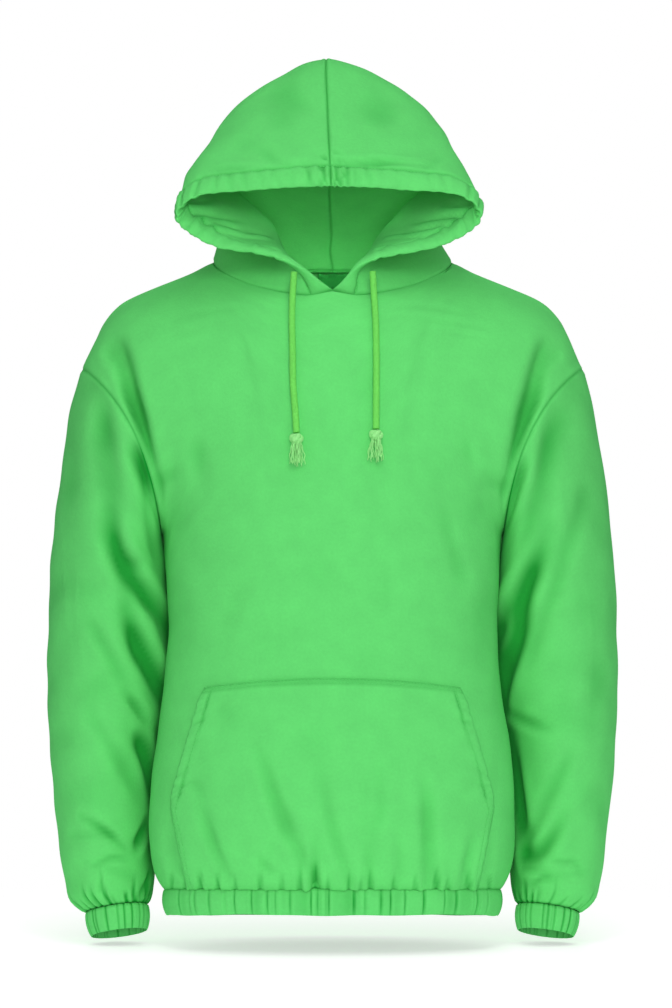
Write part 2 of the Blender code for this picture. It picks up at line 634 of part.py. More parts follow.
def sleeve_ring(row, angle, pitch):
    """One ring of the left sleeve at the given angles."""
    outer_x, outer_z, inner_x, inner_z, depth, middle_y = row
    out = np.array([outer_x, middle_y, outer_z])
    within = np.array([inner_x, middle_y, inner_z])
    centre = (out + within) / 2
    reach = (out - within) / 2
    angle = angle[:, None]
    forward = np.array([0.0, -depth, pitch])
    return centre + np.cos(angle) * reach + np.sin(angle) * forward


def sleeve_grid(folds):
    """Outer points of the left sleeve: rows from the armhole down, columns round it."""
    table = np.array(SLEEVE_RINGS)
    stations = np.linspace(0, len(table) - 1, SLEEVE_ROWS)
    stations[-3:-1] = len(table) - 1 - np.array(SLEEVE_LAST_ROWS)
    rows = smooth(np.arange(len(table)), table, stations)
    angle = np.arange(2 * ARMHOLE_STEPS) * math.pi / ARMHOLE_STEPS
    grid = np.zeros((SLEEVE_ROWS, len(angle), 3))
    _, _, outward = armhole_frame()
    for number, row in enumerate(rows):
        share = stations[number] / (len(table) - 1)
        ring = sleeve_ring(row, angle, CUFF_PITCH * share ** 2)
        scoop = ARMHOLE_SCOOP * np.sin(angle) ** 2 * (1 - ease(share / SCOOP_FADE))
        grid[number] = ring - scoop[:, None] * outward
    grid[0] = armhole_loop(angle, GAP / 2)
    depth = np.zeros(grid.shape[:2])
    arc = angle[None, :] * SLEEVE_RADIUS + 0 * depth
    for from_angle, from_z, to_angle, *rest in folds:
        from_arc, to_arc = np.radians([from_angle, to_angle]) * SLEEVE_RADIUS
        scaled = (from_arc, from_z, to_arc, *rest)
        depth += trough(arc, grid[..., 2], scaled)
    depth[[0, -1]] = 0.0
    depth[1] *= 0.5
    return grid + surface_normals(grid, closed=True) * depth[..., None]


def add_sleeve(name, folds, left):
    outer = sleeve_grid(folds)
    inner = outer - surface_normals(outer, closed=True) * CLOTH
    inner[0] = held_by_armhole(inner[0], 1)
    if not left:
        outer = mirrored(outer)
        inner = mirrored(inner)
    add_wall(name, outer, inner, FLEECE_GREEN, closed=True)


def add_cuff(name, left):
    """Elastic cuff, ruched round, in line with the end of the sleeve."""
    around = CUFF_WAVES * CUFF_WAVE_STEPS
    angle = np.arange(around) * 2 * math.pi / around
    first = np.array(SLEEVE_RINGS[-1])
    last = np.array(CUFF_BOTTOM)
    wave = 1 + np.cos(angle * CUFF_WAVES) * CUFF_WAVE_DEPTH / first[4]
    outer = np.zeros((3, around, 3))
    for number, (share, swell, ruching) in enumerate(CUFF_LEVELS):
        row = first + (last - first) * share
        ring = sleeve_ring(row, angle, CUFF_PITCH)
        centre = ring.mean(axis=0)
        factor = swell * (1 + (wave - 1) * ruching)
        outer[number] = centre + (ring - centre) * factor[:, None]
    axis = outer[-1].mean(axis=0) - outer[0].mean(axis=0)
    axis /= np.linalg.norm(axis)
    outer[0] += axis * GAP * 1.5
    centres = outer.mean(axis=1, keepdims=True)
    spokes = outer - centres
    inner = centres + spokes * (1 - CUFF_CLOTH / np.linalg.norm(spokes, axis=-1, keepdims=True))
    if not left:
        outer = mirrored(outer)
        inner = mirrored(inner)
    add_wall(name, outer, inner, RIB_GREEN, closed=True)


# ---------------------------------------------------------------- hood

def hood_grid(distances):
    """Points of the left half of the hood: rows from the neck seam up, columns from the rim back."""
    stations = [row[0] for row in HOOD_SECTIONS]
    places = np.interp(distances, stations, [row[1] for row in HOOD_SECTIONS])
    feet = neck_seam(places)
    body = np.array([row[2:] for row in HOOD_SECTIONS])
    beyond = body[-2] * np.array([-1.0, 1.0, 1.0])
    body = np.concatenate([body, beyond[None]])
    knots = np.array(stations + [2 * stations[-1] - stations[-2]])
    columns = smooth(knots, body, distances)
    columns = np.concatenate([feet[:, None], columns], axis=1)
    over = columns[:, -2:-1] * np.array([-1.0, 1.0, 1.0])
    up = np.linspace(0.0, columns.shape[1] - 1, HOOD_STEPS_UP + 1)
    columns = np.concatenate([columns, over], axis=1)
    grid = smooth(np.arange(columns.shape[1]), columns.transpose(1, 0, 2), up)
    grid[0, :, 2] += SEAM_EDGE
    return grid


def leaning(points):
    """The hood leans sideways above the neck seam, where its own foot stays."""
    table = np.array(HOOD_LEAN)
    height = points[..., 2]
    beside_seam = np.exp(-(points[..., 0] / SEAM_WANDER_WIDTH) ** 2)
    shift = np.interp(height, table[:, 0], table[:, 1])
    shift += np.interp(height, table[:, 0], table[:, 2]) * beside_seam
    up = np.linspace(0.0, HOOD_PLACES, len(points))
    moved = points.copy()
    moved[..., 0] += shift * ease(up)[:, None]
    return moved


def add_hood_half(name, left):
    distances = np.array(HOOD_STEPS_ALONG)
    grid = hood_grid(distances)
    normal = surface_normals(grid)
    normal[-1, :, 0] = 0.0
    normal[:, -1, 0] = 0.0
    normal[-1, -1] = normal[-1, -2] + normal[-2, -1]
    normal /= np.linalg.norm(normal, axis=-1, keepdims=True)
    swell = CASING_SWELL * np.sin(np.clip(distances / CASING, 0.0, 1.0) * math.pi)
    foot = ease(np.arange(HOOD_STEPS_UP + 1) / 2.0)
    swell = (swell[None, :] * foot[:, None])[..., None]
    outer = grid + normal * swell
    inner = grid - normal * (swell + CLOTH)
    inner[0, :, 2] = np.maximum(inner[0, :, 2], grid[0, :, 2])
    outer[..., 0] = np.maximum(outer[..., 0], GAP / 2)
    inner[..., 0] = np.maximum(inner[..., 0], GAP / 2)
    if not left:
        outer = mirrored(outer)
        inner = mirrored(inner)
    add_wall(name, leaning(outer), leaning(inner), FLEECE_GREEN)


# ---------------------------------------------------------------- pocket and label

def cut_away(mesh, place, outward):
    """Cut the mesh by a plane and drop the side that the plane faces."""
    everything = mesh.verts[:] + mesh.edges[:] + mesh.faces[:]
    bmesh.ops.bisect_plane(mesh, geom=everything, plane_co=place, plane_no=outward,
                           dist=1e-6, clear_outer=True)


def sheet_of(points, cuts):
    """The stretch of a panel's surface that is left after the cuts, each a place and a direction."""
    rows, columns = points.shape[:2]
    mesh = bmesh.new()
    grid = [[mesh.verts.new(points[row, column]) for column in range(columns)] for row in range(rows)]
    for row in range(rows - 1):
        for column in range(columns - 1):
            opposite = grid[row + 1][column + 1]
            mesh.faces.new((grid[row][column], grid[row][column + 1], opposite))
            mesh.faces.new((grid[row][column], opposite, grid[row + 1][column]))
    for place, outward in cuts:
        cut_away(mesh, place, outward)
    mesh.normal_update()
    return mesh


def add_patch(name, sheet, lift, thickness, colour):
    """A piece of cloth that lies on a panel, made from the panel's own points, all facing forward."""
    sheet.verts.index_update()
    places = np.array([vertex.co[:] for vertex in sheet.verts])
    normals = np.array([vertex.normal[:] for vertex in sheet.verts])
    if normals[:, 1].mean() > 0:
        normals = -normals
    count = len(places)
    faces = []
    for face in sheet.faces:
        corners = [vertex.index for vertex in face.verts]
        if face.normal.y > 0:
            corners.reverse()
        faces.append(corners)
        faces.append([corner + count for corner in reversed(corners)])
    sheet.free()
    borders = border_edges(faces[::2])
    faces.extend([[end, start, start + count, end + count] for start, end in borders])
    outer = places + normals * (lift + thickness)
    inner = places + normals * lift
    add_mesh(name, np.concatenate([outer, inner]), faces, colour)


def add_pocket(front):
    """Kangaroo pocket, lifted off the front."""
    (foot_x, foot_z), (wide_x, wide_z), (top_x, top_z) = POCKET_CORNERS
    cuts = [((0, 0, foot_z), (0, 0, -1)), ((0, 0, top_z), (0, 0, 1))]
    for side in (-1, 1):
        cuts.append(((side * foot_x, 0, foot_z), (side * (wide_z - foot_z), 0, foot_x - wide_x)))
        cuts.append(((side * wide_x, 0, wide_z), (side * (top_z - wide_z), 0, wide_x - top_x)))
    add_patch("pocket", sheet_of(front, cuts), POCKET_LIFT, POCKET_CLOTH, FLEECE_GREEN)


def border_edges(faces):
    """Directed edges that only one face has."""
    directed = set()
    for corners in faces:
        directed.update(zip(corners, corners[1:] + corners[:1]))
    return [(start, end) for start, end in sorted(directed) if (end, start) not in directed]


def add_neck_label(back_lining):
    """Small plain woven label on the inside of the back, just under the neck seam."""
    top = NECK_SIDE_Z + NECK_BACK_RISE - LABEL_TOP
    cuts = [((0, 0, top), (0, 0, 1)), ((0, 0, top - LABEL_HEIGHT), (0, 0, -1))]
    cuts += [((side * LABEL_WIDTH / 2, 0, 0), (side, 0, 0)) for side in (-1, 1)]
    add_patch("neck_label", sheet_of(back_lining, cuts), GAP, LABEL_CLOTH, LABEL_GREEN)


# ---------------------------------------------------------------- drawcord

def cord_line(route):
    """Smooth line through the route's own points, at equal steps."""
    points = np.array(route)
    fine = smooth(np.arange(len(points)), points, np.linspace(0, len(points) - 1, 200))
    return along(fine, np.linspace(0.0, 1.0, CORD_POINTS))


def add_cord(name, route):
    line = cord_line(route)
    curve = bpy.data.curves.new(name, "CURVE")
    curve.dimensions = "3D"
    curve.bevel_depth = CORD_DIAMETER / 2
    curve.bevel_resolution = 2
    curve.use_fill_caps = True
    spline = curve.splines.new("POLY")
    spline.points.add(len(line) - 1)
    for point, place in zip(spline.points, line):
        point.co = (*place, 1.0)
    thing = bpy.data.objects.new(name, curve)
    bpy.context.collection.objects.link(thing)
    curve.materials.append(cloth_material(name, CORD_GREEN, 0.85))


def add_tassel(name, route, strand_rows, spread):
    """Knot at the end of the cord, with the cord's frayed strands grown out of its underside."""
    end = np.array(route[-1])
    top = end[2] - KNOT_GAP
    mesh = bmesh.new()
    rings = []
    for share, width in KNOT_LEVELS:
        height = top - share * KNOT_HEIGHT
        ring = []
        for number in range(KNOT_SIDES):
            turn = 2 * math.pi * (number + 0.5) / KNOT_SIDES
            radius = KNOT_RADIUS * width * (1 + KNOT_TWIST * math.sin(3 * turn + 4 * share))
            ring.append(mesh.verts.new((end[0] + radius * math.cos(turn),
                                        end[1] + KNOT_FLATNESS * radius * math.sin(turn), height)))
        rings.append(ring)
    for upper, lower in zip(rings, rings[1:]):
        for number in range(KNOT_SIDES):
            after = (number + 1) % KNOT_SIDES
            mesh.faces.new((upper[number], lower[number], lower[after], upper[after]))
    mesh.faces.new(rings[0])
    foot = grow_foot(mesh, rings[-1], end, top - KNOT_HEIGHT)
    grow_strands(mesh, foot, end, strand_rows, spread)
    bmesh.ops.recalc_face_normals(mesh, faces=mesh.faces[:])
    data = bpy.data.meshes.new(name)
    mesh.to_mesh(data)
    mesh.free()
    data.shade_smooth()
    data.set_sharp_from_angle(angle=math.radians(50))
    thing = bpy.data.objects.new(name, data)
    bpy.context.collection.objects.link(thing)
    data.materials.append(cloth_material(name, TASSEL_GREEN, 0.85))


def grow_foot(mesh, rim, end, height):
    """Underside of the knot: a ring of faces and a middle of faces, one for each strand."""
    ring_drop, centre_drop = KNOT_FOOT_DROP
    radius = KNOT_RADIUS * KNOT_FOOT
    middle = []
    for number in range(0, len(rim), 2):
        turn = 2 * math.pi * (number + 1.0) / len(rim)
        middle.append(mesh.verts.new((end[0] + radius * math.cos(turn),
                                      end[1] + KNOT_FLATNESS * radius * math.sin(turn), height - ring_drop)))
    centre = mesh.verts.new((end[0], end[1], height - centre_drop))
    faces = []
    count = len(middle)
    for number in range(count):
        after = (number + 1) % count
        left = rim[2 * number]
        right = rim[2 * number + 1]
        following = rim[(2 * number + 2) % len(rim)]
        faces.append(mesh.faces.new((left, right, middle[number])))
        faces.append(mesh.faces.new((right, following, middle[after], middle[number])))
        faces.append(mesh.faces.new((middle[number], middle[after], centre)))
    return faces


def grow_strands(mesh, faces, end, strand_rows, spread):
    """Each face of the foot is drawn in to a small patch and drawn down as one strand."""
    bmesh.ops.inset_individual(mesh, faces=faces, thickness=STRAND_INSET, depth=0.0)
    for number, face in enumerate(faces):
        lean, length = strand_rows[number % len(strand_rows)]
        centre = face.calc_center_median()
        away = np.array([centre[0] - end[0], centre[1] - end[1]])
        current = face
        drop = TASSEL_LENGTH * length / len(STRAND_SPREAD)
        for step, outwards in enumerate(STRAND_SPREAD):
            grown = bmesh.ops.extrude_discrete_faces(mesh, faces=[current])
            current = grown["faces"][0]
            out = spread * outwards
            sway = lean * (step + 1) * STRAND_SWAY
            shift = (away[0] * out + sway, away[1] * out * STRAND_FLATNESS, -drop)
            bmesh.ops.translate(mesh, verts=current.verts[:], vec=shift)
        middle = current.calc_center_median()
        for corner in current.verts:
            corner.co = middle + (corner.co - middle) * STRAND_TIP


# ---------------------------------------------------------------- the whole garment

def build_hoodie():
    clear_scene()
    front, _ = add_body_panel("front", -1, NECK_STEPS_FRONT, SHOULDER_STEPS_FRONT, CHEST_FULLNESS,
                              FRONT_FOLDS)
    _, back_lining = add_body_panel("back", 1, NECK_STEPS_BACK, SHOULDER_STEPS_BACK, BACK_FULLNESS,
                                    BACK_FOLDS)
    add_sleeve("sleeve_left", LEFT_SLEEVE_FOLDS, left=True)
    add_sleeve("sleeve_right", RIGHT_SLEEVE_FOLDS, left=False)
    add_cuff("cuff_left", left=True)
    add_cuff("cuff_right", left=False)
    add_hem_band()
    add_hood_half("hood_left", left=True)
    add_hood_half("hood_right", left=False)
    add_pocket(front)
    add_neck_label(back_lining)
    add_cord("drawcord_left", LEFT_CORD_ROUTE)
    add_cord("drawcord_right", RIGHT_CORD_ROUTE)
    add_tassel("tassel_left", LEFT_CORD_ROUTE, LEFT_STRANDS, LEFT_SPREAD)
    add_tassel("tassel_right", RIGHT_CORD_ROUTE, RIGHT_STRANDS, RIGHT_SPREAD)


build_hoodie()
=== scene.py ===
# %% [markdown]
# # A pullover hoodie, worn by nobody
# The hoodie is cut from brushed cotton fleece and sewn from eleven pieces.  Its solids are already packed
# as a plain model.  This lesson dresses them: each piece of cloth is worked out again as a fine surface
# on the same pattern, with its folds, gathers, seams and stitches, and gets a fleece finish.
# Metres, +Z up.  The front faces -Y, and the wearer's left is +X.

import math

import bpy
import numpy as np
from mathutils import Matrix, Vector


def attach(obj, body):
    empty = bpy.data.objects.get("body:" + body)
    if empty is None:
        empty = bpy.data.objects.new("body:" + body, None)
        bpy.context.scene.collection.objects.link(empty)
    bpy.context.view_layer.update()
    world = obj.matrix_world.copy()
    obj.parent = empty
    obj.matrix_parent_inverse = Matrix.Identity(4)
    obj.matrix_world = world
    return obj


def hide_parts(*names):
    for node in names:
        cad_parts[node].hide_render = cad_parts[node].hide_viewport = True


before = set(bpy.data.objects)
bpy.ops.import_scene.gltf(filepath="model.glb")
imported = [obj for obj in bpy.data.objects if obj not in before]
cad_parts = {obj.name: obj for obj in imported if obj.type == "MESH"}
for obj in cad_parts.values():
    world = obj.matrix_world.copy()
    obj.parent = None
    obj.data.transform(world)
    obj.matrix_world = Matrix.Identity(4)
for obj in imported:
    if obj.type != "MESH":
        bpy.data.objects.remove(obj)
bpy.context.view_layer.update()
print("packed nodes:", sorted(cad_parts))

# %% [markdown]
# ## Camera
# The hoodie is seen straight from the front by a camera at the height of its hem, tilted up a little.
# A long lens keeps the sleeves parallel, and the plain view transform keeps the bright green pure.  The
# camera stands still while everything else is made.

# %% Camera
CAMERA_PLACE = (0.0037, -2.9, -0.68)
CAMERA_TILT = 98.318          # degrees from straight down
CAMERA_LENS = 99.688          # millimetres
CAMERA_SENSOR = 36.0

camera_data = bpy.data.cameras.new("studio_camera")
camera_data.lens = CAMERA_LENS
camera_data.sensor_fit = "AUTO"
camera_data.sensor_width = CAMERA_SENSOR
camera = bpy.data.objects.new("studio_camera", camera_data)
camera.location = CAMERA_PLACE
camera.rotation_euler = (math.radians(CAMERA_TILT), 0.0, 0.0)
bpy.context.collection.objects.link(camera)
bpy.context.scene.camera = camera
bpy.context.scene.view_settings.view_transform = "Standard"
print("camera at", CAMERA_PLACE, "with a lens of", CAMERA_LENS, "mm")

# %% [markdown]
# ## Curves, grids and meshes
# Every piece here is a grid of points: rows run one way over the cloth and columns the other.  A few
# helpers carry the whole lesson: a smooth curve through a short table, even steps along a line, the
# normals of a grid, and a wall of cloth made from an outer and an inner grid.

# %% Units, smooth curves and normals
MIRROR = np.array([-1.0, 1.0, 1.0])


def metres(table, kept=()):
    """A table of folds, whose rows are in millimetres apart from the kept columns, in metres."""
    return [[value if column in kept else round(value / 1000, 6) for column, value in enumerate(row)]
            for row in table]


def smooth(knots, rows, at):
    """Cubic Hermite curve: at each knot the row is met, and the slope is the one between its neighbours."""
    knots, rows, at = (np.asarray(values, dtype=float) for values in (knots, rows, at))
    slopes = np.gradient(rows, knots, axis=0)
    left = np.clip(np.searchsorted(knots, at, side="right") - 1, 0, len(knots) - 2)
    span = knots[left + 1] - knots[left]
    shape = (-1,) + (1,) * (rows.ndim - 1)
    part = ((at - knots[left]) / span).reshape(shape)
    span = span.reshape(shape)
    start = (1 + 2 * part) * (1 - part) ** 2 * rows[left]
    end = part ** 2 * (3 - 2 * part) * rows[left + 1]
    start_slope = part * (1 - part) ** 2 * span * slopes[left]
    end_slope = part ** 2 * (part - 1) * span * slopes[left + 1]
    return start + end + start_slope + end_slope


def sampled(at, knots, rows):
    """Straight lines between the rows of a table, all its columns at once."""
    return np.stack([np.interp(at, knots, rows[:, column]) for column in range(rows.shape[1])], -1)


def running(points, axis=0):
    """Running length of a line, or of every line of a grid along one of its axes."""
    steps = np.cumsum(np.linalg.norm(np.diff(points, axis=axis), axis=-1), axis=axis)
    return np.concatenate([np.zeros_like(np.take(steps, [0], axis=axis)), steps], axis=axis)


def lengths(grid, axis):
    """Mean running length along one axis of a grid."""
    steps = np.linalg.norm(np.diff(grid, axis=axis), axis=-1).mean(axis=1 - axis)
    return np.concatenate([[0.0], np.cumsum(steps)])


def length_of(points):
    """Length of a line."""
    return float(np.linalg.norm(np.diff(points, axis=0), axis=1).sum())


def along(points, shares):
    """Points at the given shares of a line's length."""
    length = running(points)
    return sampled(np.asarray(shares) * length[-1], length, points)


def edge_distances(grid):
    """Distances over the cloth from its four edges: first row, last row, first column, last column."""
    up, across = running(grid, 0), running(grid, 1)
    return up, up[-1:] - up, across, across[:, -1:] - across


def unit(vectors):
    """The same directions with a length of one."""
    return vectors / np.linalg.norm(vectors, axis=-1, keepdims=True)


def normals_of(grid, closed=False):
    """Unit normal at each point: the step across the columns, crossed with the step up the rows."""
    up = np.gradient(grid, axis=0)
    if closed:
        across = (np.roll(grid, -1, axis=1) - np.roll(grid, 1, axis=1)) / 2
    else:
        across = np.gradient(grid, axis=1)
    normal = np.cross(across, up)
    return normal / np.maximum(np.linalg.norm(normal, axis=-1, keepdims=True), 1e-12)


def ease(value):
    """0 below 0, 1 above 1, and 3v^2 - 2v^3 between them."""
    value = np.clip(value, 0.0, 1.0)
    return value * value * (3 - 2 * value)


def bell(distance, width=1.0):
    """A soft bump of the given half width: e^(-(d/w)^2)."""
    return np.exp(-(distance / width) ** 2)


def shaded(depth, full, start=0.0):
    """Painted shade of a fold's trough: it starts at a share of its full depth, and rises from there to all
    its shade.
    """
    return np.clip(depth / full - start, 0.0, 1.0)


def mirrored(grid):
    """The grid on the other side of the body, its columns in the other order so that it still faces out."""
    turned = grid[:, ::-1].copy()
    turned[..., 0] *= -1
    return turned


def on_side(left, outer, inner, masks):
    """Grids and masks made for the left side stay as they are, or are turned over for the right."""
    if left:
        return outer, inner, masks
    return mirrored(outer), mirrored(inner), [values[:, ::-1] for values in masks]


def spread(low, high, step, edge_steps=(0.0006, 0.0008, 0.0011, 0.0015, 0.0020, 0.0026)):
    """Places from low to high: short steps at both ends, where a seam rolls, and even ones between."""
    edge = np.cumsum(edge_steps)
    inner_low = low + edge[-1]
    inner_high = high - edge[-1]
    count = max(int(round((inner_high - inner_low) / step)), 1)
    middle = np.linspace(inner_low, inner_high, count + 1)
    return np.concatenate([[low], low + edge[:-1], middle, (high - edge[:-1])[::-1], [high]])


# %% Meshes from grids
def mesh_from(name, points, quads, corner_uvs, masks=None):
    """Mesh of quads from arrays, with a UV map in metres and soft masks of painted shade on its points."""
    mesh = bpy.data.meshes.new(name)
    mesh.vertices.add(len(points))
    mesh.vertices.foreach_set("co", np.ascontiguousarray(points, dtype=np.float32).ravel())
    mesh.loops.add(quads.size)
    mesh.loops.foreach_set("vertex_index", quads.ravel().astype(np.int32))
    mesh.polygons.add(len(quads))
    mesh.polygons.foreach_set("loop_start", np.arange(0, quads.size, 4, dtype=np.int32))
    mesh.polygons.foreach_set("use_smooth", np.ones(len(quads), dtype=bool))
    mesh.update(calc_edges=True)
    layer = mesh.uv_layers.new(name="cloth")
    layer.data.foreach_set("uv", corner_uvs.astype(np.float32).ravel())
    for mask, values in (masks or {}).items():
        attribute = mesh.attributes.new(mask, "FLOAT", "POINT")
        attribute.data.foreach_set("value", values.astype(np.float32).ravel())
    mesh.validate()
    thing = bpy.data.objects.new(name, mesh)
    bpy.context.collection.objects.link(thing)
    print(name, "has", 2 * len(mesh.polygons), "triangles")
    return thing


def cells(grid, turned=False):
    """The four corners of every cell of a grid; turned cells face the other way."""
    corners = (grid[:-1, :-1], grid[:-1, 1:], grid[1:, 1:], grid[1:, :-1])
    if turned:
        corners = corners[:1] + corners[:0:-1]
    return np.stack(corners, 2).reshape((-1, 4) + grid.shape[2:])


surfaces = {}                 # the outer grid of each piece of cloth, for what is sewn on it


def cloth_wall(name, outer, inner, painted_shade, seam, closed=False):
    """A wall of cloth: the outer grid, the inner grid turned to face in, and strips round their edges."""
    surfaces[name] = outer
    rows, columns = outer.shape[:2]
    index = np.arange(rows * columns).reshape(rows, columns)
    full = outer
    if closed:
        index = np.concatenate([index, index[:, :1]], axis=1)
        full = np.concatenate([outer, outer[:, :1]], axis=1)
    uv = np.stack(np.broadcast_arrays(lengths(full, 1)[None, :], lengths(full, 0)[:, None]), -1)
    below = index + rows * columns
    parts = [(index, uv, False), (below, uv, True)]
    edges = [(np.s_[0], True), (np.s_[-1], False)]
    if not closed:
        edges += [(np.s_[:, 0], False), (np.s_[:, -1], True)]
    for edge, turned in edges:
        parts.append((np.stack([index[edge], below[edge]]), np.stack([uv[edge], uv[edge]]), turned))
    quads = np.concatenate([cells(ids, turned) for ids, _, turned in parts])
    uvs = np.concatenate([cells(places, turned) for _, places, turned in parts])
    points = np.concatenate([outer.reshape(-1, 3), inner.reshape(-1, 3)])
    # The first mask paints shade into the cloth's folds, creases and gathers; the second paints shade, partly
    # seam dirt, along its seams and stitches.
    masks = {mask: np.tile(np.broadcast_to(values, (rows, columns)).ravel(), 2)
             for mask, values in (("painted_shade", painted_shade), ("seam", seam))}
    return mesh_from(name, points, quads, uvs, masks)


# %% [markdown]
# ## The pattern
# These are the same sizes that the solids were made from: the body's sections from the hem up, the
# shoulder and neck seams, the armhole, the rings of a sleeve and the sections of the hood.  The fine
# cloth follows them, so it stays on the solids' form.

# %% Sizes of the body
NECK_HALF_WIDTH = 0.127       # centre to side neck point
NECK_FRONT = 0.105            # how far the neck seam reaches forward
NECK_BACK = 0.070             # how far it reaches back
NECK_SIDE_Z = 0.004
NECK_FRONT_DROP = 0.060
NECK_DROP_POWER = 1.2         # how early the neck seam starts to fall
NECK_BACK_RISE = 0.006
NECK_V_RISE = 0.006           # the seam rises a little where the hood halves meet
NECK_V_WIDTH = 0.012

HEM_SEAM_Z = -0.6575          # body to hem band
HEM_BOTTOM_Z = -0.6830
UNDERARM = (0.178, -0.290)    # x and z of the lowest point of the armhole
SHOULDER_END = (0.265, -0.1145)  # x and z where the shoulder seam meets the armhole
ARMHOLE_DEPTH = 0.085         # half depth of the armhole, front to back
ARMHOLE_SCOOP = 0.020         # how far its front and back curve in towards the body
FRONT_POWER = 2.4             # roundness of the body's cross-section in front
BACK_POWER = 2.05             # and behind, where it rounds away sooner
SHOULDER_POWER = 2.3          # roundness of the chest over to the shoulder
NECK_FLARE = 0.075            # how far the cloth beside the neck seam spreads sideways
NECK_FLARE_COLUMNS = 2.5
CHEST_FAIRED_ROWS = 4         # rows above the underarm that are faired into their neighbours
ROLL_SHARE = 15.0             # makes the side roll's curve, t^5 (1 - t), reach about 1
EDGE_PULL_POWER = 2.6         # how closely the armhole's pull keeps to the edge of a panel
CHEST_FULLNESS = 0.009        # forward swell of the chest
BACK_FULLNESS = 0.012         # swell of the shoulder blades
SECTION_PLACES = 181          # points that a section of the body is worked out at
OUTLINE_PLACES = 241          # and the whole chest, where the armhole cuts it
SEAM_PLACES = 121             # points of the shoulder seam's curve
LOOK_UP_PLACES = 121          # and of each section that the pocket is laid on
NECK_STEPS_FRONT = 7          # cells of the front neck seam, centre to side
SHOULDER_STEPS_FRONT = 9
NECK_STEPS_BACK = 6
SHOULDER_STEPS_BACK = 8
ARMHOLE_STEPS = 12            # cells of half the armhole, underarm to shoulder

# Body half width and half depths by height, and how far the front swells past the side seam.
BODY_SECTIONS = (
    # height, half width, front depth, back depth, side roll
    (-0.6575, 0.1725, 0.12, 0.104, 0.0), (-0.648, 0.1775, 0.128, 0.11, 0.002),
    (-0.63, 0.1822, 0.134, 0.115, 0.004), (-0.595, 0.185, 0.1365, 0.1175, 0.004),
    (-0.555, 0.1845, 0.136, 0.1165, 0.004), (-0.51, 0.18, 0.134, 0.114, 0.004),
    (-0.46, 0.1735, 0.1315, 0.111, 0.004), (-0.415, 0.169, 0.129, 0.109, 0.004),
    (-0.37, 0.168, 0.127, 0.11, 0.004), (-0.33, 0.1725, 0.1255, 0.1135, 0.003),
    (-0.29, 0.178, 0.125, 0.116, 0.0005),
)

# Heights of the body's rows above the hem seam: close together where the hem gathers it.
ROW_HEIGHTS = (0.0, 0.006, 0.016, 0.030, 0.050, 0.078, 0.115, 0.160, 0.210, 0.262, 0.315, 0.3675)

# Shoulder seam from the side neck point to the top of the armhole.
SHOULDER_SEAM = (
    # x, z
    (0.127, 0.004), (0.155, -0.0108), (0.19, -0.0248), (0.222, -0.0395), (0.2405, -0.059),
    (0.251, -0.082), (0.265, -0.1145),
)

# Largest folds of the body: troughs between two places on the cloth, seen from the front or the back.
# The tables of folds are in millimetres and, on the sleeves, degrees.
FRONT_FOLDS = metres((
    # from x, from z, to x, to z, half width, depth
    (222, -98, 196, -180, 12, 11), (196, -180, 183, -260, 12, 8), (236, -100, 228, -118, 7, 4),
    (-224, -98, -198, -178, 12, 11), (-198, -178, -184, -260, 12, 8), (-236, -98, -229, -116, 7, 4.5),
    (-118, -644, -138, -520, 14, 5), (-72, -644, -32, -570, 12, 4.5), (-8, -644, -14, -540, 13, 4.5),
    (42, -644, 34, -550, 12, 4), (80, -644, 102, -560, 13, 4.5), (132, -644, 143, -590, 11, 3.5),
    (-152, -644, -160, -600, 10, 3.5),
))
BACK_FOLDS = metres((
    (218, -110, 194, -190, 13, 10), (194, -190, 180, -270, 13, 7), (-219, -112, -195, -193, 13, 10),
    (-195, -193, -181, -270, 13, 7), (-95, -644, -110, -530, 17, 5), (-30, -644, -22, -550, 17, 4.5),
    (33, -644, 45, -535, 17, 5), (101, -644, 108, -560, 17, 4.5),
))

# %% Sizes of the sleeves
# Left sleeve: rings from the armhole to the cuff seam.  Each ring joins an outer and an inner point.
SLEEVE_RINGS = (
    # outer x, outer z, inner x, inner z, half depth, middle y
    (0.265, -0.1145, 0.178, -0.29, 0.085, 0.0), (0.2752, -0.15, 0.1788, -0.296, 0.087, 0.005),
    (0.283, -0.195, 0.1763, -0.309, 0.088, 0.015), (0.2907, -0.245, 0.1724, -0.333, 0.087, 0.023),
    (0.2959, -0.3, 0.1679, -0.366, 0.085, 0.028), (0.2988, -0.355, 0.1674, -0.401, 0.083, 0.03),
    (0.2995, -0.415, 0.1705, -0.445, 0.08, 0.031), (0.298, -0.47, 0.1764, -0.49, 0.077, 0.03),
    (0.2944, -0.525, 0.1822, -0.537, 0.074, 0.029), (0.2888, -0.575, 0.1846, -0.582, 0.07, 0.028),
    (0.2828, -0.62, 0.1842, -0.618, 0.064, 0.026), (0.2773, -0.648, 0.1845, -0.642, 0.056, 0.023),
    (0.2715, -0.668, 0.1865, -0.659, 0.046, 0.02), (0.255, -0.681, 0.191, -0.6715, 0.035, 0.017),
)
CUFF_BOTTOM = (0.2500, -0.7055, 0.1905, -0.6975, 0.0335, 0.0170)
CUFF_PITCH = 0.0042           # the front of the cuff's ring is higher than its middle by this much
SLEEVE_RADIUS = 0.075         # turns an angle round the sleeve into a distance
SLEEVE_PLACES = 400           # points of a sleeve's own middle line
SCOOP_FADE = 0.45             # share of the sleeve over which the armhole's scoop dies away

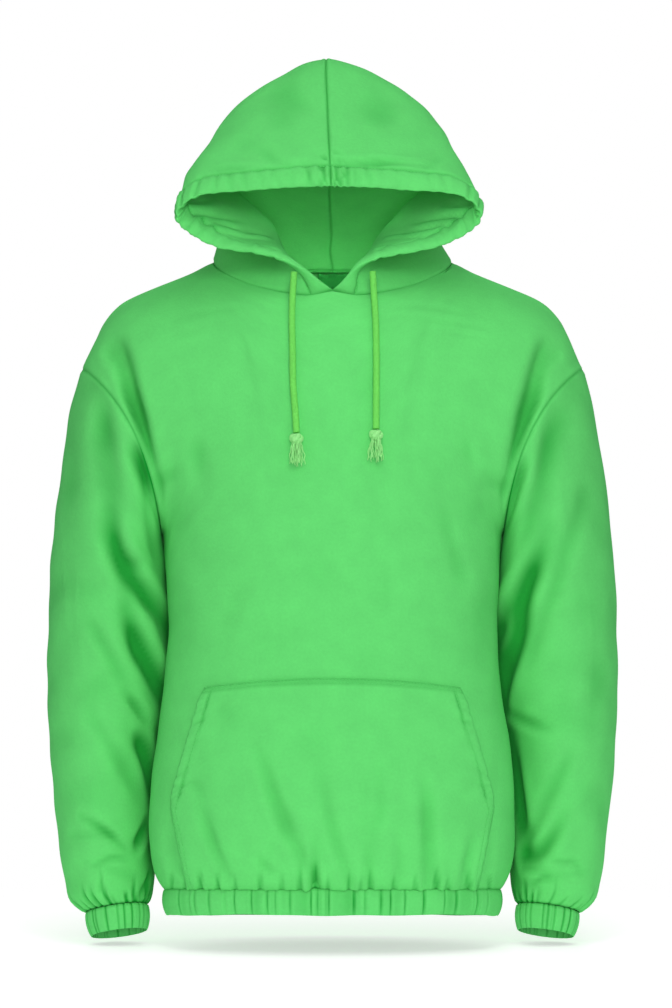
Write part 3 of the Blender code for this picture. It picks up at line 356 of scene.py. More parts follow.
# Largest folds of the sleeves, by angle round the sleeve (0 outside, 90 front) and by height.
LEFT_SLEEVE_FOLDS = metres((
    # from angle, from z, to angle, to z, half width, depth
    (75, -190, 128, -330, 13, 6.5), (50, -245, 125, -430, 14, 7), (85, -520, 140, -620, 13, 6),
    (50, -640, 130, -648, 8, 4), (235, -200, 300, -360, 15, 6.5), (210, -330, 290, -470, 15, 6),
    (215, -600, 300, -640, 10, 4.5),
), kept=(0, 2))
RIGHT_SLEEVE_FOLDS = metres((
    (55, -170, 122, -420, 13, 7.5), (100, -200, 140, -320, 12, 6), (80, -480, 135, -560, 13, 5.5),
    (45, -605, 110, -600, 9, 4.5), (60, -628, 130, -645, 8, 3.5), (240, -190, 305, -350, 15, 6.5),
    (215, -350, 285, -500, 15, 6), (220, -610, 300, -630, 10, 4),
), kept=(0, 2))

# %% Sizes of the hood, the pocket, the label and the cord
HOOD_SECTIONS = (
    # distance from the rim, foot along the neck seam (0 front, 1 side, 2 back),
    # low, side, turn, brow, upper, crown
    (0.0, 0.0, (0.046, -0.121, -0.022), (0.117, -0.115, -0.006), (0.157, -0.103, 0.024),
     (0.137, -0.113, 0.047), (0.075, -0.121, 0.0515), (0.0, -0.127, 0.0545)),
    (0.021, 0.11, (0.042, -0.104, -0.016), (0.108, -0.098, 0.008), (0.1535, -0.086, 0.047),
     (0.134, -0.097, 0.069), (0.076, -0.11, 0.0745), (0.0, -0.116, 0.0785)),
    (0.06, 0.31, (0.046, -0.08, -0.0048), (0.084, -0.07, 0.022), (0.142, -0.056, 0.071),
     (0.133, -0.067, 0.101), (0.08, -0.083, 0.11), (0.0, -0.092, 0.1165)),
    (0.105, 0.54, (0.056, -0.046, 0.014), (0.073, -0.032, 0.047), (0.126, -0.02, 0.092),
     (0.125, -0.032, 0.13), (0.082, -0.048, 0.153), (0.0, -0.06, 0.163)),
    (0.19, 1.0, (0.114, 0.0, 0.04), (0.111, 0.006, 0.076), (0.115, 0.014, 0.114), (0.109, 0.009, 0.158),
     (0.067, 0.001, 0.2), (0.0, -0.004, 0.227)),
    (0.27, 1.5, (0.084, 0.056, 0.043), (0.093, 0.064, 0.08), (0.097, 0.07, 0.116), (0.087, 0.07, 0.154),
     (0.052, 0.066, 0.19), (0.0, 0.06, 0.21)),
    (0.35, 2.0, (0.0, 0.084, 0.04), (0.0, 0.096, 0.07), (0.0, 0.104, 0.098), (0.0, 0.108, 0.126),
     (0.0, 0.106, 0.153), (0.0, 0.098, 0.178)),
)
# The hood leans to its right, and its middle seam wanders a little more or less than its sides.
HOOD_LEAN = (
    # height, sideways shift, further shift of the middle seam
    (0.0, -0.0052, 0.0), (0.025, -0.0037, 0.0), (0.055, -0.0032, 0.0018), (0.1, -0.0048, 0.0014),
    (0.13, -0.0036, -0.001), (0.17, -0.0024, -0.0034), (0.2, -0.001, -0.006),
)
SEAM_WANDER_WIDTH = 0.045     # half width of the cloth that wanders with the seam
CASING = 0.021                # width of the turned hem that holds the drawcord

# Kangaroo pocket: its corners from the hem up.
POCKET_CORNERS = (
    # half width, height
    (0.145, -0.656), (0.1615, -0.576), (0.1275, -0.457),
)

LABEL_WIDTH = 0.032
LABEL_HEIGHT = 0.015
LABEL_CLOTH = 0.0009
LABEL_TOP = 0.0010            # below the back neck seam

# Routes of the two ends of the drawcord: they leave the hood's casing and hang on the chest.
LEFT_CORD_ROUTE = (
    # x, y, z
    (0.041, -0.1217, -0.0345), (0.0425, -0.1207, -0.06), (0.044, -0.1214, -0.086),
    (0.0445, -0.127, -0.12), (0.0443, -0.1332, -0.155), (0.044, -0.1378, -0.185), (0.044, -0.1384, -0.2),
)
RIGHT_CORD_ROUTE = (
    (-0.039, -0.1217, -0.035), (-0.0405, -0.1207, -0.06), (-0.041, -0.1218, -0.087),
    (-0.0402, -0.1276, -0.12), (-0.0396, -0.1338, -0.152), (-0.037, -0.1388, -0.185),
    (-0.036, -0.1396, -0.204),
)
CORD_DIAMETER = 0.0066
KNOT_RADIUS = 0.0078
KNOT_HEIGHT = 0.0100
KNOT_GAP = 0.0007             # below the cord's end
TASSEL_LENGTH = 0.0250


# %% Neck and armhole
def neck_curve(place):
    """Neck seam of the left side, place 0 front, 1 side, 2 back: half ellipses, falling in front."""
    angle = np.asarray(place, dtype=float) * math.pi / 2
    front = np.asarray(place) <= 1
    x = NECK_HALF_WIDTH * np.sin(angle)
    cosine = np.cos(angle)
    y = np.where(front, -NECK_FRONT * cosine, -NECK_BACK * cosine)
    drop = NECK_FRONT_DROP * np.clip(cosine, 0, 1) ** NECK_DROP_POWER
    notch = NECK_V_RISE * bell(x, NECK_V_WIDTH)
    z = np.where(front, NECK_SIDE_Z - drop + notch, NECK_SIDE_Z - NECK_BACK_RISE * cosine)
    return np.stack([x, y, z], -1)


def armhole_frame():
    """Middle of the left armhole, half its height as a vector, and the direction out of it."""
    top = np.array([SHOULDER_END[0], 0.0, SHOULDER_END[1]])
    low = np.array([UNDERARM[0], 0.0, UNDERARM[1]])
    reach = (top - low) / 2
    return (top + low) / 2, reach, unit(np.array([reach[2], 0.0, -reach[0]]))


def armhole_loop(angle):
    """Armhole by angle, 0 shoulder, 90 front, 180 underarm: a tilted ellipse scooped towards the body."""
    middle, reach, outward = armhole_frame()
    angle = np.asarray(angle, dtype=float)[:, None]
    forward = np.array([0.0, -ARMHOLE_DEPTH, 0.0])
    scoop = ARMHOLE_SCOOP * np.sin(angle) ** 2
    return middle + np.cos(angle) * reach + np.sin(angle) * forward - scoop * outward


# %% Sections of the body
def body_size(height):
    table = np.array(BODY_SECTIONS)
    return smooth(table[:, 0], table[:, 1:], height)


def half_section(facing, size, shares):
    """Quarter of the body's section at equal steps: x = w sin^(2/p), y = d cos^(2/p), p its roundness."""
    half_width, front_depth, back_depth, side_roll = size
    turn = np.linspace(0.0, 1.0, SECTION_PLACES)
    angle = turn * math.pi / 2
    if facing < 0:
        x = half_width * np.sin(angle) ** (2 / FRONT_POWER) + side_roll * ROLL_SHARE * turn ** 5 * (1 - turn)
        y = -front_depth * np.cos(angle) ** (2 / FRONT_POWER)
    else:
        x = half_width * np.sin(angle) ** (2 / BACK_POWER)
        y = back_depth * np.cos(angle) ** (2 / BACK_POWER)
    return along(np.stack([x, y], -1), shares)


def shoulder_line(steps):
    seam = np.array(SHOULDER_SEAM)
    seam = smooth(np.arange(len(seam)), seam, np.linspace(0, len(seam) - 1, SEAM_PLACES))
    seam = along(seam, np.linspace(0.0, 1.0, steps + 1))
    return np.stack([seam[:, 0], 0 * seam[:, 0], seam[:, 1]], -1)


def neck_ends(facing):
    """Places of the neck seam where a panel starts and ends: its middle and the side neck point."""
    return (0.0, 1.0) if facing < 0 else (2.0, 1.0)


def half_panel(facing, neck_steps, shoulder_steps, fullness):
    """Left half of the front (-1) or back (1), coarse, hem to shoulder.
    Below the underarm each row is a section.  Above it a row is the part of the chest's section that
    the armhole leaves, carried up to the neck and shoulder by the armhole's own shares."""
    steps = neck_steps + shoulder_steps
    shares = np.linspace(0.0, 1.0, steps + 1)
    heights = HEM_SEAM_Z + np.array(ROW_HEIGHTS)
    sizes = body_size(heights)
    lower = np.zeros((len(heights), steps + 1, 3))
    for row, size in enumerate(sizes):
        lower[row, :, :2] = half_section(facing, size, shares)
        lower[row, :, 2] = heights[row]
    neck = neck_curve(np.linspace(*neck_ends(facing), neck_steps + 1))
    top = np.concatenate([neck, shoulder_line(shoulder_steps)[1:]])
    edge = armhole_loop(math.pi * (1 - np.linspace(0.0, 1.0, ARMHOLE_STEPS + 1)[1:]))
    edge[:, 1] *= -facing
    chest = lower[-1]
    start, end = chest[-1], top[-1]
    across_share = ((edge[:, 0] - start[0]) / (end[0] - start[0]))[:, None]
    up_share = np.clip((edge[:, 2] - start[2]) / (end[2] - start[2]), 0.0, 1.0)[:, None]
    over_share = 1 - (1 - up_share ** SHOULDER_POWER) ** (1 / SHOULDER_POWER)
    upper = np.zeros((ARMHOLE_STEPS, steps + 1, 3))
    places = np.linspace(0.0, 1.0, OUTLINE_PLACES)
    outline = half_section(facing, sizes[-1], places)
    for row in range(ARMHOLE_STEPS):
        left_over = max(1 - over_share[row, 0], 1e-6)
        reach = min(abs(edge[row, 1]) / left_over, sizes[-1][1 if facing < 0 else 2])
        part = half_section(facing, sizes[-1], shares * np.interp(-reach, -np.abs(outline[:, 1]), places))
        upper[row, :, 0] = part[:, 0] + (top[:, 0] - part[:, 0]) * across_share[row]
        upper[row, :, 1] = part[:, 1] * left_over + top[:, 1] * over_share[row]
        upper[row, :, 2] = chest[:, 2] + (top[:, 2] - chest[:, 2]) * up_share[row]
    beside_neck = bell(np.arange(steps + 1) - neck_steps, NECK_FLARE_COLUMNS)
    upper[..., 0] += NECK_FLARE * np.sqrt(1 - up_share) * up_share ** 4 * beside_neck
    swell = np.sin(up_share * math.pi) ** 2 * np.cos(shares * math.pi / 2) ** 2
    upper[..., 1] += facing * fullness * swell
    upper += (edge - upper[:, -1])[:, None, :] * (shares ** EDGE_PULL_POWER)[None, :, None]
    return eased_chest(np.concatenate([lower, upper]))


def eased_chest(grid):
    """The rows at the underarm are faired into the rows below and above them."""
    first = len(ROW_HEIGHTS) - 1
    last = grid.shape[1] - 1
    kept = [row for row in range(len(grid)) if not first <= row <= first + CHEST_FAIRED_ROWS]
    faired = grid.copy()
    for column in range(last):
        heights = grid[:, column, 2]
        curve = smooth(heights[kept], grid[kept, column], heights)
        faired[:, column] += (curve - grid[:, column]) * min((last - column) / 2, 1.0)
    return faired


# %% Fine body panel
BESIDE_NECK = 0.110           # the cloth this near to the side neck point is relaxed
RELAXING_ROUNDS = 200
HELD = 0.010                  # the width of cloth beside a seam that the seam holds still


def relaxed(grid):
    """Beside the neck each point moves to the mean of its four neighbours, again and again; seams stay."""
    _, top, left, right = edge_distances(grid)
    corner = np.array([NECK_HALF_WIDTH, 0.0, NECK_SIDE_Z])
    place = np.concatenate([np.abs(grid[..., :1]), grid[..., 1:]], axis=-1)
    away = np.linalg.norm(place - corner, axis=-1)
    share = np.exp(-(away / BESIDE_NECK) ** 4) * ease(top / HELD) * ease(np.minimum(left, right) / HELD)
    for _ in range(RELAXING_ROUNDS):
        mean = (grid[:-2, 1:-1] + grid[2:, 1:-1] + grid[1:-1, :-2] + grid[1:-1, 2:]) / 4
        grid[1:-1, 1:-1] += (mean - grid[1:-1, 1:-1]) * share[1:-1, 1:-1, None]
    return grid


def fine_panel(facing, neck_steps, shoulder_steps, fullness, step):
    """The whole front or back at a fine step: the coarse half, refined by cubic curves both ways.
    The neck corner is sharp only in the top row, so the exact top row is blended in over the last row."""
    coarse = half_panel(facing, neck_steps, shoulder_steps, fullness)
    row_knots, column_knots = lengths(coarse, 0), lengths(coarse, 1)
    fine_rows = spread(0.0, row_knots[-1], step)
    edge = spread(0.0, column_knots[-1], step)
    fine_columns = np.concatenate([[0.0], edge[edge > 2 * step]])
    tall = smooth(row_knots, coarse, fine_rows)
    doubled = np.concatenate([(tall[:, 1:] * MIRROR)[:, ::-1], tall], axis=1)
    double_knots = np.concatenate([-column_knots[1:][::-1], column_knots])
    half = smooth(double_knots, doubled.transpose(1, 0, 2), fine_columns).transpose(1, 0, 2)
    start, end = neck_ends(facing)
    share = np.interp(fine_columns, column_knots, np.arange(len(column_knots)))
    on_neck = fine_columns <= column_knots[neck_steps]
    exact = np.zeros((len(fine_columns), 3))
    exact[on_neck] = neck_curve(start + (end - start) * share[on_neck] / neck_steps)
    beyond = (share[~on_neck] - neck_steps) / shoulder_steps
    line = shoulder_line(OUTLINE_PLACES - 1)
    exact[~on_neck] = sampled(beyond, np.linspace(0, 1, OUTLINE_PLACES), line)
    blend = ease((fine_rows - row_knots[-2]) / (row_knots[-1] - row_knots[-2]))
    half += (exact - half[-1])[None] * blend[:, None, None]
    if facing < 0:
        half[..., 1] = np.minimum(half[..., 1], 0.0)
        return relaxed(np.concatenate([mirrored(half)[:, :-1], half], axis=1))
    half[..., 1] = np.maximum(half[..., 1], 0.0)
    return relaxed(np.concatenate([half[:, ::-1][:, :-1], mirrored(half[:, ::-1])], axis=1))


# %% [markdown]
# ## Folds and creases
# A fold is a soft trough along a bent line on the cloth, with a ridge of pushed-up cloth beside it.
# Each is a row in a table: where it starts, passes and ends, how wide and deep it is, and how much of
# its depth it already has at its start, since a gather is deepest where it is sewn.

# %% Folds
FOLD_SHARE = 0.40             # the solids' broad folds are softer in the fine cloth
FULL_FOLDS_FROM = -0.45       # but the body's folds keep all their depth above this height
SEAM_DIP = 0.0007             # how deep the cloth rolls in to a seam
SEAM_ROLL = 0.0021            # and how wide the roll is
WAVES = 10                    # sine waves in the cloth's own unevenness


def trough(across, height, fold):
    """The solids' own broad fold: depth (0.9 w^2 - 1) e^(-w^2), w half widths away from its line."""
    from_a, from_h, to_a, to_h, half_width, depth = fold
    run_a, run_h = to_a - from_a, to_h - from_h
    squared = run_a ** 2 + run_h ** 2
    share = ((across - from_a) * run_a + (height - from_h) * run_h) / squared
    offset = ((across - from_a) * run_h - (height - from_h) * run_a) / math.sqrt(squared)
    overshoot = half_width * 1.5 / math.sqrt(squared)
    fade = ease((share + overshoot) / (2 * overshoot)) * ease((1 + overshoot - share) / (2 * overshoot))
    wave = offset / half_width
    return depth * fade * (wave ** 2 * 0.9 - 1.0) * bell(wave)


def crease(across, height, row, pieces=8):
    """Trough along the quadratic curve through three places: -e^(-w^2), with ridges at w = 1.6 and -1.5."""
    start, middle, end = np.array(row[0:2]), np.array(row[2:4]), np.array(row[4:6])
    half_width, depth, started = row[6:9]
    t = np.linspace(0.0, 1.0, pieces + 1)[:, None]
    line = (1 - t) ** 2 * start + t * (1 - t) * (4 * middle - start - end) + t ** 2 * end
    nearest = np.full(across.shape, 1e3)
    share = np.zeros(across.shape)
    side = np.ones(across.shape)
    for number, (a, b) in enumerate(zip(line, line[1:])):
        run = b - a
        to_a, to_h = across - a[0], height - a[1]
        part = np.clip((to_a * run[0] + to_h * run[1]) / (run @ run), 0.0, 1.0)
        distance = np.hypot(to_a - part * run[0], to_h - part * run[1])
        closer = distance < nearest
        nearest = np.where(closer, distance, nearest)
        share = np.where(closer, (number + part) / pieces, share)
        side = np.where(closer, np.sign(run[0] * to_h - run[1] * to_a), side)
    fade = (started + (1 - started) * ease(share / 0.35)) * ease((1 - share) / 0.55)
    wave = side * nearest / half_width
    return depth * fade * (-bell(wave) + 0.42 * bell(wave - 1.6, 0.8) + 0.16 * bell(wave + 1.5, 0.7))


def pleat(wave):
    """A narrow valley, -e^(-w^2), between two rounded ridges at w = 1.8 and -1.8."""
    return -bell(wave) + 0.5 * bell(wave - 1.8, 0.9) + 0.3 * bell(wave + 1.8, 0.9)


def seam_roll(distance):
    """The cloth dips to its seam and stands up a little beside it."""
    away = distance / SEAM_ROLL
    return SEAM_DIP * (-bell(away) + 0.35 * bell(away - 1.9, 0.8))


def relief(across, height, folds, creases):
    """All the folds and creases of one piece, added up."""
    total = np.zeros(across.shape)
    for fold in folds:
        share = FOLD_SHARE + (1 - FOLD_SHARE) * ease((fold[1] - FULL_FOLDS_FROM) / 0.1)
        total += share * trough(across, height, fold)
    for row in creases:
        total += crease(across, height, row)
    return total


def unevenness(points, seed, wavelength, height):
    """Sine waves in space of chance directions and phases: cloth is nowhere quite smooth."""
    chance = np.random.default_rng(seed)
    total = np.zeros(points.shape[:-1])
    for _ in range(WAVES):
        direction = chance.normal(size=3)
        direction /= np.linalg.norm(direction) * wavelength * chance.uniform(0.6, 1.6)
        total += np.sin(points @ direction * 2 * math.pi + chance.uniform(0, 2 * math.pi))
    return height * total / math.sqrt(WAVES)


# %% [markdown]
# ## Front and back
# Both panels are cut with a neck curve, a drop shoulder and an armhole, and meet at the sides.  The
# elastic hem pulls them into gathers, and the weight of the pocket draws soft folds down the front.

# %% Tables of folds for the front and back
FRONT_CREASES = metres((
    # from x and z, through x and z, to x and z, half width, depth, share at its start
    (-13.5, -656, -55.7, -572.4, -71.7, -514, 7.2, 4.6, 0.9),
    (17.5, -650, -2, -590, -7.5, -540, 5.8, 3.4, 0.9),
    (94.8, -650, 93.5, -585, 82.7, -518.2, 7.2, 4.4, 0.9),
    (-101.8, -644, -118, -610, -132.9, -565, 5.8, 3.6, 0.7),
    (44.6, -600, 49, -572.4, 44, -520, 6, 2.4, 0.2), (-17.6, -654, -17.5, -628, -19, -592, 4.2, 3, 1),
    (-53, -643, -67, -634, -79, -614, 4.2, 2.8, 0.6), (-144, -652, -152, -640, -162, -628, 4.2, 2.8, 0.8),
    (62, -650, 66.5, -620, 60, -575, 5.8, 2.4, 0.8), (129, -653, 134.5, -625, 143, -590, 5.2, 3, 0.9),
    (33, -652, 35, -630, 30, -608, 4.5, 2.4, 1), (-156, -650, -164, -615, -166, -570, 5.5, 1.8, 0.8),
    (152, -650, 160, -620, 162, -585, 5, 1.8, 0.8), (220, -136, 203, -180, 185, -260, 7.5, 5.6, 0.05),
    (236, -120, 222, -160, 206, -210, 5.5, 2, 0.2), (-220, -134, -202, -179, -184, -260, 8, 6.2, 0.05),
    (-238, -125, -223, -165, -206, -215, 5.5, 2.2, 0.2),
    (-185, -255, -170, -240, -148, -233, 9, 2.6, 0.6), (184, -260, 168, -246, 145, -242, 9, 2.4, 0.6),
    (-170, -330, -156, -380, -150, -450, 12, 1.4, 0), (169, -325, 156, -390, 152, -460, 12, 1.4, 0),
    (64, -67, 105, -65, 151, -73, 3.4, 1, 0.5), (74, -77, 135, -82, 181, -89, 4, 1.2, 0.4),
    (98, -90, 142, -93, 170, -101, 4, 0.8, 0.2), (-90, -66, -136, -68, -177, -77, 4, 1, 0.4),
    (-110, -85, -150, -90, -185, -101, 4.4, 0.9, 0.2), (-139, -197, -136, -232, -132, -272, 9, 1.8, 0.1),
    (135, -192, 141, -222, 156, -237, 8, 1.6, 0.1), (108, -262, 125, -324, 151, -385, 9, 1.8, 0),
    (49, -300, 53, -368, 48, -430, 9, 1.2, 0), (-90, -330, -105, -390, -128, -450, 10, 1.4, 0),
), kept=(8,))
BACK_CREASES = metres((
    (-118, -650, -122, -600, -138, -530, 7, 2.4, 0.9), (-64, -650, -56, -610, -60, -560, 6, 1.8, 0.9),
    (6, -650, 2, -600, 10, -550, 6.5, 2.2, 0.9), (68, -650, 74, -605, 70, -550, 6.5, 2, 0.8),
    (129, -650, 135, -605, 148, -550, 6, 2, 0.9), (215, -120, 199, -170, 190, -220, 9, 2.8, 0.5),
    (-216, -120, -200, -172, -190, -225, 9, 2.8, 0.5), (-120, -70, -30, -105, 90, -95, 16, 2, 0),
    (-70, -430, 10, -445, 90, -420, 20, 2.2, 0), (110, -340, 30, -370, -50, -360, 18, 1.8, 0),
), kept=(8,))
FRONT_GATHERS = metres((
    # x, half width, height above the hem seam, depth
    (-162, 2.2, 16, 1.4), (-148, 2, 12, 1.2), (-130, 2.6, 20, 1.6), (-112.5, 2.4, 18, 1.6),
    (-95.5, 2.2, 14, 1.2), (-70.5, 2.6, 18, 1.4), (-49.5, 2.2, 15, 1.4), (-31.5, 2.6, 22, 1.8),
    (-16.5, 3, 26, 2.2), (-3.5, 2, 14, 1.4), (16.5, 2.2, 16, 1.4), (28.5, 2, 13, 1.2),
    (37.5, 2.6, 20, 1.6), (60.5, 2.2, 14, 1.2), (81.5, 2.4, 16, 1.4), (102.5, 2.8, 22, 1.8),
    (113.5, 2.2, 14, 1.4), (134.5, 2.6, 18, 1.6), (144, 2, 12, 1.4), (158, 2.2, 15, 1.4),
))
BACK_GATHERS = metres((
    (-159, 2.2, 15, 1.4), (-142, 2.4, 18, 1.4), (-119, 2.8, 22, 1.8), (-101, 2.2, 14, 1.2),
    (-84, 2.4, 16, 1.4), (-62, 2.6, 20, 1.6), (-43, 2.2, 14, 1.2), (-28, 2.6, 18, 1.6),
    (-6, 2.2, 16, 1.4), (13, 2.6, 20, 1.6), (34, 2.6, 22, 1.8), (52, 2.2, 13, 1.2), (70, 2.6, 18, 1.4),
    (89, 2.2, 15, 1.2), (106, 2.8, 22, 1.8), (128, 2.4, 16, 1.4), (146, 2.2, 15, 1.2),
    (161, 2.2, 13, 1.2),
))
PANEL_TABLES = {-1: (FRONT_FOLDS, FRONT_CREASES, FRONT_GATHERS), 1: (BACK_FOLDS, BACK_CREASES, BACK_GATHERS)}
GATHERING = 1.4               # all the gathers together, deeper or shallower
FLEECE = 0.0020               # thickness of the fine cloth
FRONT_STEP = 0.0036
BACK_STEP = 0.0042
UNEVEN = 0.0007               # height of the cloth's own unevenness
UNEVEN_PANEL = 0.075          # and its wavelength on the body
UNEVEN_TUBE = 0.060           # and on the sleeves and the hood
HOLLOW_DEPTH = 0.0060         # a fold this deep has all its painted shade
GATHER_DEPTH = 0.0020         # and a gather this deep
SEAM_SHADE = 0.0018           # half width of the painted shade along a seam
UPPER_BODY = (-0.40, -0.115)  # heights between which the painted shade in the body's hollows is darker


# %% Front and back panels
def gathers(points, facing):
    """Short pleats over the hem seam, deepest at the seam and gone at their height."""
    total = np.zeros(points.shape[:-1])
    above = points[..., 2] - HEM_SEAM_Z
    for x, half_width, height, depth in PANEL_TABLES[facing][2]:
        total += GATHERING * depth * pleat((points[..., 0] - x) / half_width) * ease(1.25 - above / height)
    return total


def panel_relief(points, facing):
    """Height of the front's or back's folds, creases, gathers and unevenness at points on its smooth form."""
    total = relief(points[..., 0], points[..., 2], *PANEL_TABLES[facing][:2])
    total += gathers(points, facing)
    return total + unevenness(points, 3 - facing, UNEVEN_PANEL, UNEVEN)


def add_panel(name, facing, *cut):
    form = fine_panel(facing, *cut)
    z = form[..., 2]
    foot, top, left, right = edge_distances(form)
    sides = np.minimum(left, right)
    held = ease(top / HELD) * ease(sides / HELD) * (0.25 + 0.75 * ease(foot / 0.012))
    nearest = np.minimum(np.minimum(top, sides), foot)
    rolled = 0.4 + 0.6 * ease((z - UNDERARM[1]) / 0.03)
    height = panel_relief(form, facing) * held + seam_roll(nearest) * rolled
    outer = form + normals_of(form) * height[..., None]
    inner = outer - normals_of(outer) * FLEECE
    # Painted shade: the body's folds, darker on the upper body, and its gathers get the deep colour; the
    # seams get a line of it.
    weight = 0.30 + 0.45 * ease((z - UPPER_BODY[0]) / 0.1) * ease((UPPER_BODY[1] - z) / 0.06)
    painted_shade = weight * shaded(-height, HOLLOW_DEPTH, 0.1)
    painted_shade += 0.6 * shaded(-gathers(form, facing), GATHER_DEPTH)
    return cloth_wall(name, outer, inner, np.clip(painted_shade, 0, 1), bell(nearest, SEAM_SHADE))


front = add_panel("front_panel", -1, NECK_STEPS_FRONT, SHOULDER_STEPS_FRONT, CHEST_FULLNESS, FRONT_STEP)
back = add_panel("back_panel", 1, NECK_STEPS_BACK, SHOULDER_STEPS_BACK, BACK_FULLNESS, BACK_STEP)

# %% [markdown]
# ## Sleeves
# A sleeve is one tube from the dropped armhole to its cuff.  Its rings lean outwards with the arm, and
# its folds run from the outside of the shoulder down to the body, where the cloth hangs doubled.

# %% Tables of folds for the sleeves
LEFT_SLEEVE_CREASES = metres((
    # from angle and z, through angle and z, to angle and z, half width, depth, share at its start
    (52, -160, 80, -216, 103, -316, 12, 4, 0.1), (92, -295, 130, -362, 186, -432, 13.5, 10.5, 0.1),
    (96, -212, 124, -250, 165, -296, 9, 6, 0.3), (112, -340, 142, -424, 184, -500, 12, 11, 0.1),
    (150, -395, 160, -455, 168, -500, 12, 8, 0.3), (160, -470, 125, -488, 96, -497, 6, 3.4, 0.5),
    (156, -500, 150, -572, 128, -621, 13.5, 11, 0.4), (140, -622, 110, -613, 82, -563, 10, 5.6, 0.9),
    (112, -621, 91, -630, 70, -624, 3.6, 2.4, 0.3), (142, -636, 118, -638, 94, -640, 4, 3, 0.5),
    (124, -652, 108, -645, 92, -654, 3.6, 2.6, 0.4), (60, -640, 74, -630, 92, -634, 4.6, 2.2, 0.2),
    (80, -205, 77, -274, 73, -330, 2.2, -0.9, 0.2), (66, -300, 62, -400, 66, -520, 2.4, -0.8, 0.1),
    (40, -400, 55, -460, 62, -520, 16, 1.8, 0), (200, -520, 240, -560, 285, -550, 11, 5, 0.1),
    (220, -250, 260, -300, 310, -300, 11, 5, 0.2), (330, -420, 300, -470, 260, -500, 13, 3.4, 0),
    (230, -640, 265, -655, 300, -650, 6, 3.2, 0.2),
), kept=(0, 2, 4, 8))
RIGHT_SLEEVE_CREASES = metres((
    (84, -197, 113, -236, 160, -290, 9.5, 7, 0.2), (45, -145, 76, -212, 101, -323, 9, 3.4, 0.1),
    (78, -278, 116, -346, 184, -410, 12, 10.5, 0.1), (101, -321, 118, -327, 146, -334, 7, 3.6, 0.2),
    (108, -374, 136, -430, 184, -490, 12, 11.5, 0.1), (112, -458, 129, -476, 148, -501, 6, 5.2, 0.2),
    (120, -496, 147, -527, 166, -590, 10, 9, 0.1), (70, -376, 95, -418, 124, -470, 8, 3, 0.1),
    (66, -584, 100, -602, 128, -627, 5.2, 4.6, 0.35), (150, -590, 138, -606, 124, -619, 7, 6.6, 0.6),
    (76, -634.8, 104, -625, 130, -633, 4, 3.2, 0.3), (84, -640, 81, -656, 74, -672, 3, 3, 0.6),
    (156, -640, 146, -656, 136, -668, 5, 4, 0.6), (34, -270, 47, -350, 64, -430, 2.2, -0.9, 0.2),
    (58, -300, 66, -400, 84, -470, 2.4, -0.8, 0.1), (25, -170, 38, -250, 42, -340, 15, 1.8, 0.2),
    (205, -500, 245, -545, 285, -540, 11, 5, 0.1), (220, -240, 262, -290, 312, -300, 11, 5, 0.2),
    (325, -430, 300, -480, 255, -510, 13, 3.4, 0), (225, -645, 262, -655, 295, -648, 6, 3.2, 0.2),
), kept=(0, 2, 4, 8))
SLEEVE_GATHERS = 26
SLEEVE_GATHER_TURN = 3.2      # half width of a gather, in degrees
ARMHOLE_ALLOWANCE = 0.004     # the sleeve's seam allowance inside the body
ARMHOLE_TUCK = 0.03           # how far the allowance narrows, as a share of the ring
AGAINST_BODY = 0.0014         # how far a sleeve swells against the body
BESIDE_BODY = (-0.52, -0.25)  # heights between which it does
DOUBLED = 30.0                # degrees about the inside where a sleeve's hollows stay shallow
SHADY = 170.0                 # angle of the sleeve's darkest painted shade, beside the body
SLEEVE_HOLLOW = 0.0085        # a fold this deep has all its painted shade
SLEEVE_STEP = 0.0042


# %% Sleeves
def sleeve_ring(row, angle, pitch):
    """One ring of the left sleeve: an ellipse through its outer and inner points, 90 degrees in front."""
    outer_x, outer_z, inner_x, inner_z, depth, middle_y = row
    out = np.array([outer_x, middle_y, outer_z])
    within = np.array([inner_x, middle_y, inner_z])
    angle = angle[:, None]
    forward = np.array([0.0, -depth, pitch])
    return (out + within) / 2 + np.cos(angle) * (out - within) / 2 + np.sin(angle) * forward


def turns_from(angle, middle):
    """Degrees round a sleeve from a middle angle, between -180 and 180."""
    return (np.degrees(angle) - middle + 180.0) % 360.0 - 180.0


def sleeve_form(step):
    """The smooth left sleeve, rows from the armhole down; also the angle of each column."""
    table = np.array(SLEEVE_RINGS)
    last = len(table) - 1
    dense_places = np.linspace(0, last, SLEEVE_PLACES)
    dense = smooth(np.arange(len(table)), table, dense_places)
    middles = np.stack([dense[:, [0, 2]].mean(axis=1), dense[:, [1, 3]].mean(axis=1)], -1)
    run = running(middles)
    stations = np.interp(spread(0.0, run[-1], step), run, dense_places)
    rows = smooth(np.arange(len(table)), table, stations)
    columns = int(round(2 * math.pi * SLEEVE_RADIUS / step))
    angle = np.arange(columns) * 2 * math.pi / columns
    outward = armhole_frame()[2]
    form = np.zeros((len(rows), columns, 3))
    for number, (row, station) in enumerate(zip(rows, stations)):
        share = station / last
        scoop = ARMHOLE_SCOOP * np.sin(angle) ** 2 * (1 - ease(share / SCOOP_FADE))
        form[number] = sleeve_ring(row, angle, CUFF_PITCH * share ** 2) - scoop[:, None] * outward
    form[0] = armhole_loop(angle)
    return form, angle


def round_the_sleeve(angle, heights, row, make, places):
    """A fold or crease given by angles, laid out flat about its own middle so that it may cross the back."""
    middle = sum(row[place] for place in places) / len(places)
    arc = turns_from(angle, middle)[None, :] * math.radians(SLEEVE_RADIUS) + 0 * heights
    flat = list(row)
    for place in places:
        flat[place] = (row[place] - middle) * math.radians(SLEEVE_RADIUS)
    return make(arc, heights, tuple(flat))


